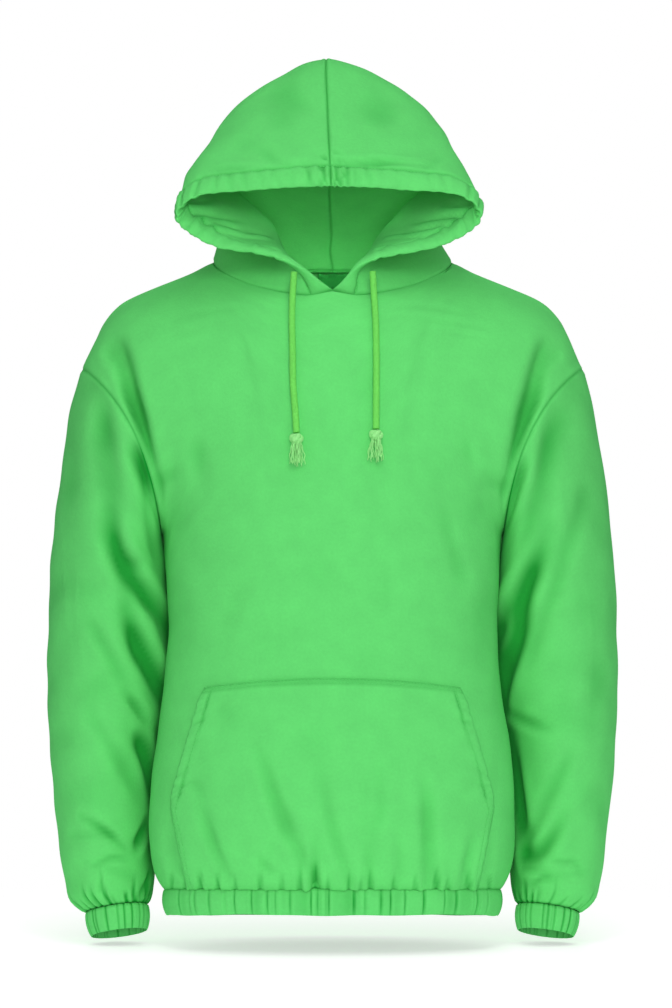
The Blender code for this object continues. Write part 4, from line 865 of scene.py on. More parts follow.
def cuff_gathers(angle, cuff, chance):
    """Short pleats of chance place, height and depth above the cuff seam, all round the sleeve."""
    turns = np.arange(SLEEVE_GATHERS) * 360.0 / SLEEVE_GATHERS + chance.uniform(-5, 5, SLEEVE_GATHERS)
    tall = chance.uniform(0.010, 0.034, SLEEVE_GATHERS)
    deep = chance.uniform(0.0010, 0.0032, SLEEVE_GATHERS)
    gathered = np.zeros(cuff.shape)
    for turn, reach, depth in zip(turns, tall, deep):
        wave = turns_from(angle, turn) / SLEEVE_GATHER_TURN
        gathered += -depth * (bell(wave) - 0.5 * bell(np.abs(wave) - 1.7, 0.8)) * ease(1.2 - cuff / reach)
    return gathered


def add_sleeve(name, folds, creases, seed, left):
    form, angle = sleeve_form(SLEEVE_STEP)
    normal = normals_of(form, closed=True)
    z = form[..., 2]
    height = unevenness(form, seed, UNEVEN_TUBE, UNEVEN)
    for fold in folds:
        height += FOLD_SHARE * round_the_sleeve(angle, z, fold, trough, (0, 2))
    for row in creases:
        height += round_the_sleeve(angle, z, row, crease, (0, 2, 4))
    edges = edge_distances(np.concatenate([form, form[:, :1]], axis=1))
    armhole, cuff = edges[0][:, :-1], edges[1][:, :-1]
    gathered = cuff_gathers(angle, cuff, np.random.default_rng(seed))
    height += gathered
    troughs = -height
    beside_body = bell(np.degrees(angle) - 180.0, DOUBLED)
    low, high = BESIDE_BODY
    height -= np.minimum(height, 0.0) * 0.9 * beside_body
    height += AGAINST_BODY * beside_body * ease((high - z) / 0.03) * ease((z - low) / 0.05)
    height *= ease(armhole / HELD) * (0.3 + 0.7 * ease(cuff / 0.006))
    nearest = np.minimum(armhole, cuff)
    height += seam_roll(nearest)
    outer = form + normal * height[..., None]
    inner = outer - normals_of(outer, closed=True) * FLEECE
    tuck = (form[:1].mean(axis=1, keepdims=True) - form[:1]) * ARMHOLE_TUCK
    tuck -= armhole_frame()[2] * ARMHOLE_ALLOWANCE
    # Painted shade: on the sleeve's inner side beside the body, in its folds and in its cuff gathers; its
    # seams get a line of it.
    shade = 0.80 * bell(np.degrees(angle) - SHADY, 30.0) * ease((-0.22 - z) / 0.08)
    shade += 0.7 * shaded(-gathered, GATHER_DEPTH)
    masks = np.clip(troughs / SLEEVE_HOLLOW + shade, 0.0, 1.0), bell(nearest, SEAM_SHADE)
    outer, inner = (np.concatenate([grid[:1] + tuck, grid]) for grid in (outer, inner))
    masks = [np.concatenate([values[:1], values]) for values in masks]
    outer, inner, masks = on_side(left, outer, inner, masks)
    return cloth_wall(name, outer, inner, *masks, closed=True)


sleeve_left = add_sleeve("left_sleeve", LEFT_SLEEVE_FOLDS, LEFT_SLEEVE_CREASES, 11, left=True)
sleeve_right = add_sleeve("right_sleeve", RIGHT_SLEEVE_FOLDS, RIGHT_SLEEVE_CREASES, 12, left=False)

# %% [markdown]
# ## Elastic hem and cuffs
# The hem band and the cuffs are folded bands with elastic inside.  Relaxed elastic draws the cloth into
# fine, uneven upright creases, and the band stands out round and full between its seam and its fold.

# %% Ruched bands
HEM_CREASES_FRONT = (
    -0.153, -0.142, -0.1365, -0.122, -0.106, -0.0965, -0.08, -0.064, -0.059, -0.056, -0.0415, -0.021,
    -0.0145, -0.0118, -0.009, -0.0062, -0.0035, 0.0215, 0.0325, 0.048, 0.0575, 0.072, 0.0905, 0.1108,
    0.123, 0.141, 0.1443, 0.1476, 0.155,
)
HEM_COLUMN_STEP = 0.0016
HEM_CREASE_STEP = 0.0105      # between the creases of the hem's back
HEM_CLOTH = 0.0042            # the hem and the cuffs are doubled over their elastic
HEM_SWELL = 0.0034            # how far a band stands out
HEM_FOOT_IN = 0.0025          # and how far its fold draws in
HEM_ROWS = 15
HEM_UNEVEN = (0.03, 0.0004)   # wavelength and height of its unevenness, in and out
FOOT_UNEVEN = (0.05, 0.0006)  # and of its fold's, up and down
CUFF_CLOTH = 0.0036
CUFF_SWELL = 0.0024
CUFF_FOOT_IN = 0.0010
CUFF_ROWS = 13
CUFF_COLUMNS = 176
CUFF_RUCHES = 24
SEAM_SHARE_OF_BAND = 0.06     # share of a band's height that the painted shade of its seam covers
BAND_TUCK = 0.0012            # a band goes up under its seam, and in, by this much
RUCHE_WIDTHS = (0.0009, 0.0018)
RUCHE_DEPTHS = (0.0012, 0.0026)
RUCHE_HOLLOW = 0.0016         # a crease this deep has all its painted shade


def ruching(run, length, creases, seed):
    """Depth of the upright creases round a band: narrow valleys of chance width between rounded folds."""
    chance = np.random.default_rng(seed)
    total = np.zeros(run.shape)
    for place in creases:
        width = chance.uniform(*RUCHE_WIDTHS)
        away = (run - place + length / 2) % length - length / 2
        total += chance.uniform(*RUCHE_DEPTHS) * (0.35 * bell(away, 2.6 * width) - bell(away, width))
    return total


def chance_places(start, stop, step, seed):
    """Places from start to stop, about a step apart, some of them close together."""
    chance = np.random.default_rng(seed)
    places = np.cumsum(step * chance.uniform(0.35, 1.65, int((stop - start) / step * 1.4)))
    return start + places[places < stop - start - 0.4 * step]


def band_shares(rows):
    """Share of a band's height at each row from its fold up: rows are close together at both ends."""
    return (np.sin(np.linspace(-math.pi / 2, math.pi / 2, rows)) / 2 + 0.5)[:, None]


def band_grids(rings, out, share, folds, swell, foot_in, cloth):
    """Outer and inner grids of a band round its rings, and how full its folds are at each row."""
    full = 0.55 + 0.45 * np.sin(share * math.pi)
    shift = swell * np.sin(share * math.pi) ** 0.7 - foot_in * (1 - share)
    shift = shift + folds * full - BAND_TUCK * (share > 0.97)
    thickness = cloth * (0.25 + 0.75 * np.sin(np.clip(share, 0.0, 0.5) * math.pi))
    outer = rings + out * shift[..., None]
    return outer, outer - out * thickness[..., None], full


def add_hem():
    size = body_size(np.array([HEM_SEAM_Z]))[0]
    places = np.linspace(0, 1, SECTION_PLACES)
    front_half, back_half = half_section(-1, size, places), half_section(1, size, places)
    flip = MIRROR[:2]
    outline = np.concatenate([front_half[:-1], back_half[::-1][:-1], (back_half * flip)[:-1],
                              (front_half * flip)[::-1]])
    length = length_of(outline)
    columns = int(length / HEM_COLUMN_STEP)
    run = np.arange(columns) * length / columns
    ring = np.column_stack([along(outline, np.arange(columns) / columns), 0 * run])
    turn = unit(np.roll(ring, -1, axis=0) - np.roll(ring, 1, axis=0))
    out = np.stack([turn[:, 1], -turn[:, 0], 0 * run], -1)
    reach = length_of(front_half)
    half_run = np.linspace(0, reach, SECTION_PLACES)
    in_front = [np.interp(abs(x), front_half[:, 0], half_run) * np.sign(x) for x in HEM_CREASES_FRONT]
    creases = np.concatenate([in_front, chance_places(reach, length - reach, HEM_CREASE_STEP, 5)])
    folds = ruching(run, length, creases, 6) + unevenness(ring, 7, *HEM_UNEVEN)
    share = band_shares(HEM_ROWS)
    heights = HEM_BOTTOM_Z + share * (HEM_SEAM_Z + BAND_TUCK - HEM_BOTTOM_Z)
    rings = np.zeros((HEM_ROWS, columns, 3))
    rings[..., :2] = ring[:, :2]
    rings[..., 2] = heights + unevenness(ring, 8, *FOOT_UNEVEN) * (1 - share)
    outer, inner, full = band_grids(rings, out, share, folds, HEM_SWELL, HEM_FOOT_IN, HEM_CLOTH)
    # Painted shade in the ruching's creases, and along the band's seam.
    painted_shade = shaded(-folds, RUCHE_HOLLOW) * full
    return cloth_wall("hem", outer, inner, painted_shade, bell(1 - share, SEAM_SHARE_OF_BAND), closed=True)


def add_cuff(name, seed, left):
    """Elastic cuff in line with the end of its sleeve; its ring is the sleeve's own last ring."""
    angle = np.arange(CUFF_COLUMNS) * 2 * math.pi / CUFF_COLUMNS
    first, last = np.array(SLEEVE_RINGS[-1]), np.array(CUFF_BOTTOM)
    mean_radius = (first[4] + math.hypot(first[0] - first[2], first[1] - first[3]) / 2) / 2
    length = 2 * math.pi * mean_radius
    places = chance_places(0.0, length, length / CUFF_RUCHES, seed)
    folds = ruching(angle * mean_radius, length, places, seed + 1)
    share = band_shares(CUFF_ROWS)
    ends = first + (last - first) * (1 - share)
    rings = np.stack([sleeve_ring(end, angle, CUFF_PITCH) for end in ends])
    spokes = unit(rings - rings.mean(axis=1, keepdims=True))
    outer, inner, _ = band_grids(rings, spokes, share, folds, CUFF_SWELL, CUFF_FOOT_IN, CUFF_CLOTH)
    # Painted shade in the cuff's creases, and along its seam.
    masks = shaded(-folds, RUCHE_HOLLOW)[None], bell(1 - share, SEAM_SHARE_OF_BAND)
    outer, inner, masks = on_side(left, outer, inner, masks)
    return cloth_wall(name, outer, inner, *masks, closed=True)


hem = add_hem()
cuff_left = add_cuff("left_cuff", 31, left=True)
cuff_right = add_cuff("right_cuff", 41, left=False)

# %% [markdown]
# ## Hood
# Each half runs from the neck seam over the side of the head to the seam in the middle.  The rim is
# turned in and stitched to make a casing for the drawcord, which puffs up and puckers, most of all
# where the two halves meet.  The hood's inside shows, so the wrinkles are there as well.

# %% Tables of the hood's creases
HOOD_CREASES_LEFT = metres((
    # distance from the middle seam and from the rim: start, middle and end; half width, depth, share at start
    (1, 27, 8, 26, 20, 31, 2, 2.2, 0.8), (1, 35, 7, 37, 15, 36, 1.8, 1.8, 0.8),
    (1, 15, 7, 12, 13, 16, 2, 2.2, 0.7), (10, 4, 14, 11, 21, 19, 2.2, 2, 0.5),
    (12.5, 22.5, 68, 31, 128, 29, 4.2, 1.7, 0.6), (30, 24, 52, 27, 70, 38, 5, 1, 0.4),
    (90, 23, 112, 40, 120, 60, 7, 1, 0.3), (140, 60, 160, 110, 150, 160, 18, 1.8, 0),
    (30, 60, 50, 110, 48, 160, 20, 1.4, 0), (185, 22, 196, 45, 190, 75, 5, 2.2, 0.8),
    (202, 22, 214, 42, 226, 70, 4.5, 2.4, 0.9), (215, 23, 234, 35, 254, 48, 4.5, 2, 0.7),
    (190, 20, 205, 10, 215, 3, 3.5, 1.4, 0.5), (232, 40, 254, 56, 272, 64, 6, 1.6, 0.1),
    (172, 30, 180, 60, 172, 90, 8, 1.4, 0.2), (270, 22, 286, 30, 300, 42, 5, 1.4, 0.4),
), kept=(8,))
HOOD_CREASES_RIGHT = metres((
    (1, 27, 6, 30, 13, 28, 2, 2.2, 0.8), (1, 34, 5, 32, 11, 35, 1.8, 1.8, 0.8),
    (1, 12, 6, 16, 11, 14, 2, 2.2, 0.7), (6, 20, 9, 15, 13, 6, 2.2, 2, 0.5),
    (10, 22.5, 35, 25, 58, 24, 3.6, 1, 0.6), (70, 22.5, 100, 28, 128, 26, 4, 0.9, 0.2),
    (45, 24, 60, 42, 64, 62, 7, 1, 0.3), (135, 60, 158, 105, 150, 155, 18, 1.6, 0),
    (25, 70, 42, 120, 40, 170, 20, 1.4, 0), (182, 22, 192, 48, 184, 80, 5, 2, 0.8),
    (198, 22, 212, 40, 220, 68, 4.5, 2.6, 0.9), (212, 23, 230, 38, 250, 46, 4.5, 2.2, 0.8),
    (192, 20, 202, 11, 214, 4, 3.5, 1.4, 0.5), (228, 44, 250, 54, 270, 68, 6, 1.6, 0.1),
    (170, 32, 176, 64, 168, 94, 8, 1.4, 0.2), (264, 22, 282, 28, 298, 38, 5, 1.2, 0.4),
), kept=(8,))
CASING_PUCKERS_LEFT = metres((
    # distance from the middle seam, half width, depth
    (3.5, 2.2, 2.6), (10, 2.4, 2.2), (16.5, 3, 1.6), (29, 4, 0.6), (43, 3.6, 0.8), (56, 4.6, 0.5),
    (73, 4, 0.7), (90, 5, 0.5), (108, 4, 0.7), (123, 5, 0.6), (145, 3.6, 0.9), (160, 3, 1.1),
    (173, 2.8, 1.4), (184, 2.6, 1.5), (195, 2.8, 1.3), (210, 3.2, 1), (228, 4, 0.7), (248, 4.6, 0.6),
    (270, 4, 0.8), (290, 3.6, 0.9),
))
CASING_PUCKERS_RIGHT = metres((
    (4, 2, 2.8), (9.5, 2.2, 2.3), (19, 3.4, 1.3), (26, 4, 0.7), (39, 4.2, 0.7), (54, 4, 0.8),
    (66, 4.6, 0.6), (85, 4.4, 0.6), (101, 4.6, 0.6), (119, 4.2, 0.7), (140, 3.6, 1), (157, 3, 1.2),
    (170, 2.6, 1.5), (180, 2.6, 1.4), (193, 2.8, 1.3), (208, 3.4, 0.9), (225, 4, 0.8), (244, 4.6, 0.6),
    (266, 4, 0.8), (288, 3.6, 0.9),
))
HOOD_STEP = 0.0034
HOOD_ROWS = 118
HOOD_REACH = 0.35             # from the rim to the middle of the back
RIM_PLACES = (0.0, 0.0007, 0.0016, 0.0028, 0.0044)  # columns of the hood at its rolled rim
BEHIND_RIM = 0.0066           # and where its even columns start
BESIDE_STITCHES = (-0.0014, -0.0006, 0.0003, 0.0012)  # columns beside the casing's stitches
SEWN = 0.005                  # width of cloth that the hood's seams hold still
CASING_PUFF = 0.0028
PUCKERING = 1.9               # all the casing's puckers together, deeper or shallower
PUCKER_SLANT = 0.30           # how far a pucker leans over the casing's width
WRINKLING = 1.7               # and all the hood's creases
ALLOWANCE = 0.0028            # the seam allowance inside the neck
STITCH_SINK = 0.0018          # how far the casing's stitches pull the cloth in
STITCH_GROOVE = 0.0013        # and half the width of the groove they make
STITCHED_ROWS = slice(4, -2)  # the rows of the hood that its casing is stitched over


# %% Hood halves
def hood_form(distances, rows):
    """The smooth left half of the hood: rows from neck seam to middle seam, columns from the rim back."""
    stations = [row[0] for row in HOOD_SECTIONS]
    feet = neck_curve(np.interp(distances, stations, [row[1] for row in HOOD_SECTIONS]))
    body = np.array([row[2:] for row in HOOD_SECTIONS])
    body = np.concatenate([body, (body[-2] * MIRROR)[None]])
    columns = smooth(np.array(stations + [2 * stations[-1] - stations[-2]]), body, distances)
    columns = np.concatenate([feet[:, None], columns], axis=1)
    places = columns.shape[1] - 1
    columns = np.concatenate([columns, columns[:, -2:-1] * MIRROR], axis=1).transpose(1, 0, 2)
    up = spread(0.0, places, places / rows, (0.012, 0.016, 0.022, 0.03))
    return smooth(np.arange(len(columns)), columns, up), up


def leaning(points, up):
    """The hood leans by its table of heights; its middle seam wanders by a further e^(-(x/w)^2) share."""
    height, sideways, wander = np.array(HOOD_LEAN).T
    beside_seam = bell(points[..., 0], SEAM_WANDER_WIDTH)
    z = points[..., 2]
    shift = np.interp(z, height, sideways) + np.interp(z, height, wander) * beside_seam
    moved = points.copy()
    moved[..., 0] += shift * ease(up)[:, None]
    return moved


def with_allowance(grid):
    """One more row under the foot: the seam's allowance, turned down inside the neck."""
    inward = unit(grid[:1] * np.array([1.0, 1.0, 0.0]))
    return np.concatenate([grid[:1] - ALLOWANCE * inward - np.array([0.0, 0.0, ALLOWANCE]), grid])


def casing_puckers(puckers, middle_side, across, in_casing):
    """The casing's puckers, each a slanted pleat that dies away behind the casing's stitches."""
    spots = 0.45 * ease(1.5 - 6 * in_casing) + np.sin(in_casing * math.pi) ** 0.5
    spots = spots + 0.35 * bell(across - CASING, 0.006)
    total = np.zeros(spots.shape)
    for place, half_width, depth in puckers:
        lean = PUCKER_SLANT * math.sin(place * 400) * across
        total += PUCKERING * depth * pleat((middle_side - place - lean) / (0.8 * half_width)) * spots
    return total


def add_hood_half(name, creases, puckers, seed, left):
    even = spread(BEHIND_RIM, HOOD_REACH, HOOD_STEP, (0.0022, 0.0024, 0.0026))
    distances = np.sort(np.concatenate([RIM_PLACES, even, CASING + np.array(BESIDE_STITCHES)]))
    form, up = hood_form(distances, HOOD_ROWS)
    normal = normals_of(form)
    for edge in (np.s_[-1, :], np.s_[:, -1]):
        normal[edge][..., 0] = 0.0
    normal[-1, -1] = normal[-1, -2] + normal[-2, -1]
    normal = unit(normal)
    neck, middle, _, spine = edge_distances(form)
    across = distances[None, :] + 0 * middle
    middle_side = 0 * middle + middle[:, :1]
    in_casing = np.clip(across / CASING, 0.0, 1.0)
    height = unevenness(form, seed, UNEVEN_TUBE, UNEVEN)
    for row in creases:
        height += WRINKLING * crease(middle_side, across, row)
    height += casing_puckers(puckers, middle_side, across, in_casing)
    sewn = np.minimum(np.minimum(neck, middle), spine)
    height *= ease(sewn / SEWN)
    height += seam_roll(np.minimum(neck, spine)) + 1.9 * seam_roll(1.5 * middle)
    puff = CASING_PUFF * np.sin(in_casing * math.pi) ** 0.6 * ease(neck / 0.012)
    puff *= 0.35 + 0.65 * ease(middle / 0.004)
    sink = STITCH_SINK * bell(across - CASING, STITCH_GROOVE) * ease(neck / 0.006)
    thickness = FLEECE * (0.55 + 0.45 * ease(across / 0.004))
    outer = form + normal * (height + puff - sink)[..., None]
    inner = form + normal * (height - puff + sink * 0.8 - thickness)[..., None]
    inner[0, :, 2] = np.maximum(inner[0, :, 2], form[0, :, 2])
    outer[..., 0], inner[..., 0] = np.maximum(outer[..., 0], 0.0), np.maximum(inner[..., 0], 0.0)
    nearest = np.minimum(sewn, np.abs(across - CASING))
    # Painted shade in the hood's creases and puckers, and along its seams and the casing's stitches.
    masks = 0.5 * shaded(-height, 0.0040, 0.1), bell(nearest, STITCH_GROOVE)
    outer, inner, masks = on_side(left, outer, inner, masks)
    outer, inner = leaning(outer, up), leaning(inner, up)
    stitched = int(np.argmin(np.abs((distances if left else distances[::-1]) - CASING)))
    for grid, facing in ((outer, 1), (inner, -1)):
        lines = grid[STITCHED_ROWS, stitched], facing * normals_of(grid)[STITCHED_ROWS, stitched]
        casing_lines.append(lines)
    masks = [np.concatenate([values[:1], values]) for values in masks]
    return cloth_wall(name, with_allowance(outer), with_allowance(inner), *masks)


casing_lines = []
hood_left = add_hood_half("left_hood", HOOD_CREASES_LEFT, CASING_PUCKERS_LEFT, 21, left=True)
hood_right = add_hood_half("right_hood", HOOD_CREASES_RIGHT, CASING_PUCKERS_RIGHT, 22, left=False)

# %% [markdown]
# ## Kangaroo pocket and label
# The pocket is one piece laid on the front.  Its top, lower sides and foot are sewn down flat, and its
# two slanted mouths are turned, stitched and left open, so they stand off the front and pucker.

# %% Pocket
POCKET_CREASES = metres((
    # x and z: start, on the way and end, half width, depth, share at its start
    (-83.8, -513.2, -63.7, -547.3, -40.6, -635.5, 7, 1.2, 0.2),
    (30, -470, 50, -478, 75, -476, 6, 0.8, 0.2), (-118, -475, -105, -485, -90, -487, 6, 0.9, 0.3),
    (118, -470, 104, -482, 88, -484, 6, 0.9, 0.3), (-148, -548, -135, -556, -120, -574, 5, 1.2, 0.6),
    (149, -548, 136, -558, 123, -578, 5, 1.2, 0.6),
), kept=(8,))
MOUTH_HEM = 0.0110            # the mouth's turned edge
MOUTH_LIFT = 0.0030           # how far the mouth stands off the front
MOUTH_PUCKERS = 17
MOUTH_PUCKER_DEPTHS = (0.0008, 0.0020)
MOUTH_ENDS = (0.014, 0.012)   # lengths over which a mouth opens at its foot and closes at its top
POCKET_LAY = 0.0034           # height of the pocket's face over the front's form
POCKET_RELIEF = 0.92          # share of the front's relief that shows through it
LOOK_UP_BELOW = -0.43         # height up to which the front's form is looked up
LOOK_UP_ROWS = 60
UNDER_HEM = 0.0010            # the pocket's foot goes into the hem seam by this much
POCKET_STEPS = (0.0034, 0.0030, 0.0200)  # up the lower part, up the mouths, and across
TOP_STITCHES = (0.0018, 0.0050)
TOP_RISE = 0.0070             # the top edge rises to its middle
STITCH_DIP = 0.0006           # how far a row of stitches pulls the cloth in
LABEL_GRID = (9, 19)          # rows and columns
LABEL_CURL = (0.0005, 0.0010)  # how far the label stands off at its top, and how much more at its foot
NECK_LINING_Z = -0.06         # the back's lining above this height holds the label


def front_point(x, z):
    """Points of the front's smooth form, below its chest, at the given x and z."""
    heights = np.linspace(HEM_SEAM_Z, LOOK_UP_BELOW, LOOK_UP_ROWS)
    shares = np.linspace(0, 1, LOOK_UP_PLACES)
    outlines = np.stack([half_section(-1, size, shares) for size in body_size(heights)])
    row = (z - heights[0]) / (heights[1] - heights[0])
    low = np.clip(row.astype(int), 0, len(heights) - 2)
    depths = []
    for number in (low, low + 1):
        flat = [np.interp(abs(one), *outlines[index].T) for one, index in zip(x.ravel(), number.ravel())]
        depths.append(np.array(flat).reshape(x.shape))
    part = row - low
    return np.stack([x, depths[0] * (1 - part) + depths[1] * part, z], -1)


def add_pocket():
    foot_z, wide_z, top_z = (corner[1] for corner in POCKET_CORNERS)
    up_lower, up_mouth, over = POCKET_STEPS
    lower = spread(foot_z - UNDER_HEM, wide_z, up_lower, (0.0012, 0.0016))
    upper = spread(wide_z, top_z, up_mouth, (0.0012, 0.0016))
    z = np.concatenate([lower[:-1], upper])[:, None]
    across = spread(-1.0, 1.0, over, (0.006, 0.008, 0.010, 0.012, 0.014))[None, :]
    widths, corner_heights = np.array(POCKET_CORNERS).T
    x = np.interp(z, corner_heights, widths) * across
    rise = TOP_RISE * (1 - across ** 2) * ease((z - wide_z) / (top_z - wide_z))
    form = front_point(x, z + rise)
    z = z + 0 * x
    foot, top, left, right = edge_distances(form)
    sides = np.minimum(left, right)
    in_mouth = ease((z - wide_z) / MOUTH_ENDS[0]) * ease((top_z - z) / MOUTH_ENDS[1])
    chance = np.random.default_rng(51)
    places = np.arange(MOUTH_PUCKERS) + chance.uniform(-0.3, 0.3, MOUTH_PUCKERS)
    pucker = np.zeros(x.shape)
    for number, place in enumerate(wide_z + (top_z - wide_z) * places / MOUTH_PUCKERS):
        slant = place + (sides * (0.55 if number % 3 else 0.15))
        pucker += chance.uniform(*MOUTH_PUCKER_DEPTHS) * bell(z - slant, 0.0022)
    pucker = pucker * bell(sides - 0.5 * MOUTH_HEM, MOUTH_HEM) * in_mouth
    height = panel_relief(form, -1) * POCKET_RELIEF * ease(sides / 0.010 + 0.3)
    height += relief(x, z, (), POCKET_CREASES) - pucker + MOUTH_LIFT * in_mouth * bell(sides, 0.020)
    sewn = np.maximum(np.maximum(bell(top, 0.0026), bell(foot, 0.0030)), bell(sides, 0.0030) * (1 - in_mouth))
    rows = sum(bell(top - down, 0.0010) for down in TOP_STITCHES) + in_mouth * bell(sides - MOUTH_HEM, 0.0012)
    height += POCKET_LAY * (1 - 0.45 * sewn) - STITCH_DIP * rows + seam_roll(sides) * in_mouth * 0.4
    normal = normals_of(form)
    outer = form + normal * height[..., None]
    inner = form + normal * (height - FLEECE * (1.2 - 0.5 * sewn))[..., None]
    # Painted shade in the pocket's hollows, over the gathers and in the mouths' puckers; the rows of stitches
    # get a line of it.
    painted_shade = 0.3 * shaded(POCKET_LAY - height, 0.0050, 0.1) + 0.6 * shaded(-gathers(form, -1), GATHER_DEPTH)
    painted_shade += 0.25 * shaded(pucker, 0.0020, 0.3)
    return cloth_wall("kangaroo_pocket", outer, inner, np.clip(painted_shade, 0, 1), np.clip(rows, 0, 1))


def lining_point(x, z):
    """Nearest points of the back panel's inner face to the given x and z, for what is sewn on it."""
    face = surfaces["back_panel"]
    lining = face - normals_of(face) * FLEECE
    high = lining[lining[..., 2] > NECK_LINING_Z]
    spot = np.stack([x, z], -1).reshape(-1, 1, 2)
    nearest = np.argsort(((high[None, :, [0, 2]] - spot) ** 2).sum(-1), axis=1)[:, :4]
    return np.stack([x, high[nearest, 1].mean(axis=1).reshape(x.shape), z], -1)


def add_label():
    """Small blank woven label: its two ends are folded under and sewn just below the neck seam."""
    rows, columns = LABEL_GRID
    top = NECK_SIDE_Z + NECK_BACK_RISE - LABEL_TOP
    x = np.linspace(LABEL_WIDTH / 2, -LABEL_WIDTH / 2, columns)
    grid = lining_point(*np.meshgrid(x, np.linspace(top - LABEL_HEIGHT, top, rows)))
    at_top, at_foot = LABEL_CURL
    curl = at_top + at_foot * (1 - np.linspace(0, 1, rows))[:, None] ** 2 + 0 * grid[..., 0]
    forward = np.array([0.0, -1.0, 0.0])
    back_side = grid + forward * curl[..., None]
    face = back_side + forward * LABEL_CLOTH
    return cloth_wall("blank_label", face[:, ::-1], back_side[:, ::-1], painted_shade=0.0, seam=0.0)


pocket = add_pocket()
label = add_label()

# %% [markdown]
# ## Drawcord
# The cord is a round tube of braided cotton.  Its two ends come out of the casing near the neck seam
# and hang on the chest, each with an overhand knot below which the braid is frayed into a tassel.

# %% Braided tubes
BRAID_TURNS = 4
BRAID_PITCH = 0.0062
BRAID_RELIEF = 0.07
CORD_RINGS = 300
CORD_SIDES = 28
ASKEW = (0.31, 0.90, 0.17)    # a direction that no tube here runs along
KNOT_PLACES = 181
KNOT_INSET = 0.0029           # from the knot's outside to its cord's middle
KNOT_FLATNESS = 0.8
KNOT_WEAVE = 0.0021           # how far the knot's cord goes over and under itself
KNOT_CORD_RADIUS = 0.0027
KNOT_CORE_RADIUS = 0.0048
KNOT_CORE = (0.0045, -0.0052)  # top and foot of the knot's filled middle
GOLDEN_ANGLE = 2.39996        # spreads the strands evenly over the tassel's round
STRANDS = 24
STRAND_PLACES = 22
STRAND_RADIUS = 0.00052
STRAND_SPREAD = 0.0040
STRAND_WAVE = 0.00042
STRAND_SWING = 0.0010


def tube_grid(line, radius, sides, braid=0.0):
    """Rings of a tube round a line, braided both ways: r (1 + b (max(cos(4a + s), cos(4a - s)) - 0.6))."""
    tangent = unit(np.gradient(line, axis=0))
    side = unit(np.cross(tangent, np.array(ASKEW)))
    other = np.cross(side, tangent)
    angle = np.arange(sides) * 2 * math.pi / sides
    turned = 2 * math.pi * running(line)[:, None] / BRAID_PITCH
    around = BRAID_TURNS * angle[None, :]
    raised = np.maximum(np.cos(around + turned), np.cos(around - turned)) - 0.6
    reach = (radius * np.ones(len(line)))[:, None] * (1 + braid * raised)
    spokes = np.cos(angle)[:, None] * side[:, None] + np.sin(angle)[:, None] * other[:, None]
    return line[:, None] + reach[..., None] * spokes


def tube_mesh(name, grids):
    """One mesh of several tubes, each a grid of rings whose ends are drawn in to a point."""
    points, quads, uvs, start = [], [], [], 0
    for grid in grids:
        top, foot = (np.broadcast_to(ring.mean(axis=0), ring.shape)[None] for ring in (grid[0], grid[-1]))
        grid = np.concatenate([top, grid, foot])
        rows, columns = grid.shape[:2]
        index = np.arange(rows * columns).reshape(rows, columns) + start
        index = np.concatenate([index, index[:, :1]], axis=1)
        u = np.arange(columns + 1) * np.linalg.norm(grid[1, 1] - grid[1, 0])
        uv = np.stack(np.broadcast_arrays(u[None, :], lengths(grid, 0)[:, None]), -1)
        quads.append(cells(index))
        uvs.append(cells(uv))
        points.append(grid.reshape(-1, 3))
        start += rows * columns
    return mesh_from(name, np.concatenate(points), np.concatenate(quads), np.concatenate(uvs))


def cord_line(route, count):
    points = np.array(route)
    fine = smooth(np.arange(len(points)), points, np.linspace(0, len(points) - 1, 200))
    return along(fine, np.linspace(0.0, 1.0, count))


def add_cord(name, route):
    line = cord_line(route, CORD_RINGS)
    return tube_mesh(name, [tube_grid(line, CORD_DIAMETER / 2, CORD_SIDES, BRAID_RELIEF)])


def knot_grids(middle):
    """Overhand knot: the trefoil (sin t + 2 sin 2t, cos t - 2 cos 2t, -sin 3t), flattened, and its core."""
    t = np.linspace(0.0, 2 * math.pi, KNOT_PLACES)
    size = KNOT_RADIUS - KNOT_INSET
    x = (np.sin(t) + 2 * np.sin(2 * t)) * size / 3
    y = (np.cos(t) - 2 * np.cos(2 * t)) * size * KNOT_FLATNESS / 3
    z = -np.sin(3 * t) * KNOT_WEAVE + np.sin(t) * 0.0006
    rings = np.linspace(0.5, 2.5, 9)
    core = middle + np.outer(np.linspace(*KNOT_CORE, 9), (0.0, 0.0, 1.0))
    return [tube_grid(middle + np.stack([x, y, z], -1), KNOT_CORD_RADIUS, 18, BRAID_RELIEF),
            tube_grid(core, KNOT_CORE_RADIUS * np.sin(rings), 16)]


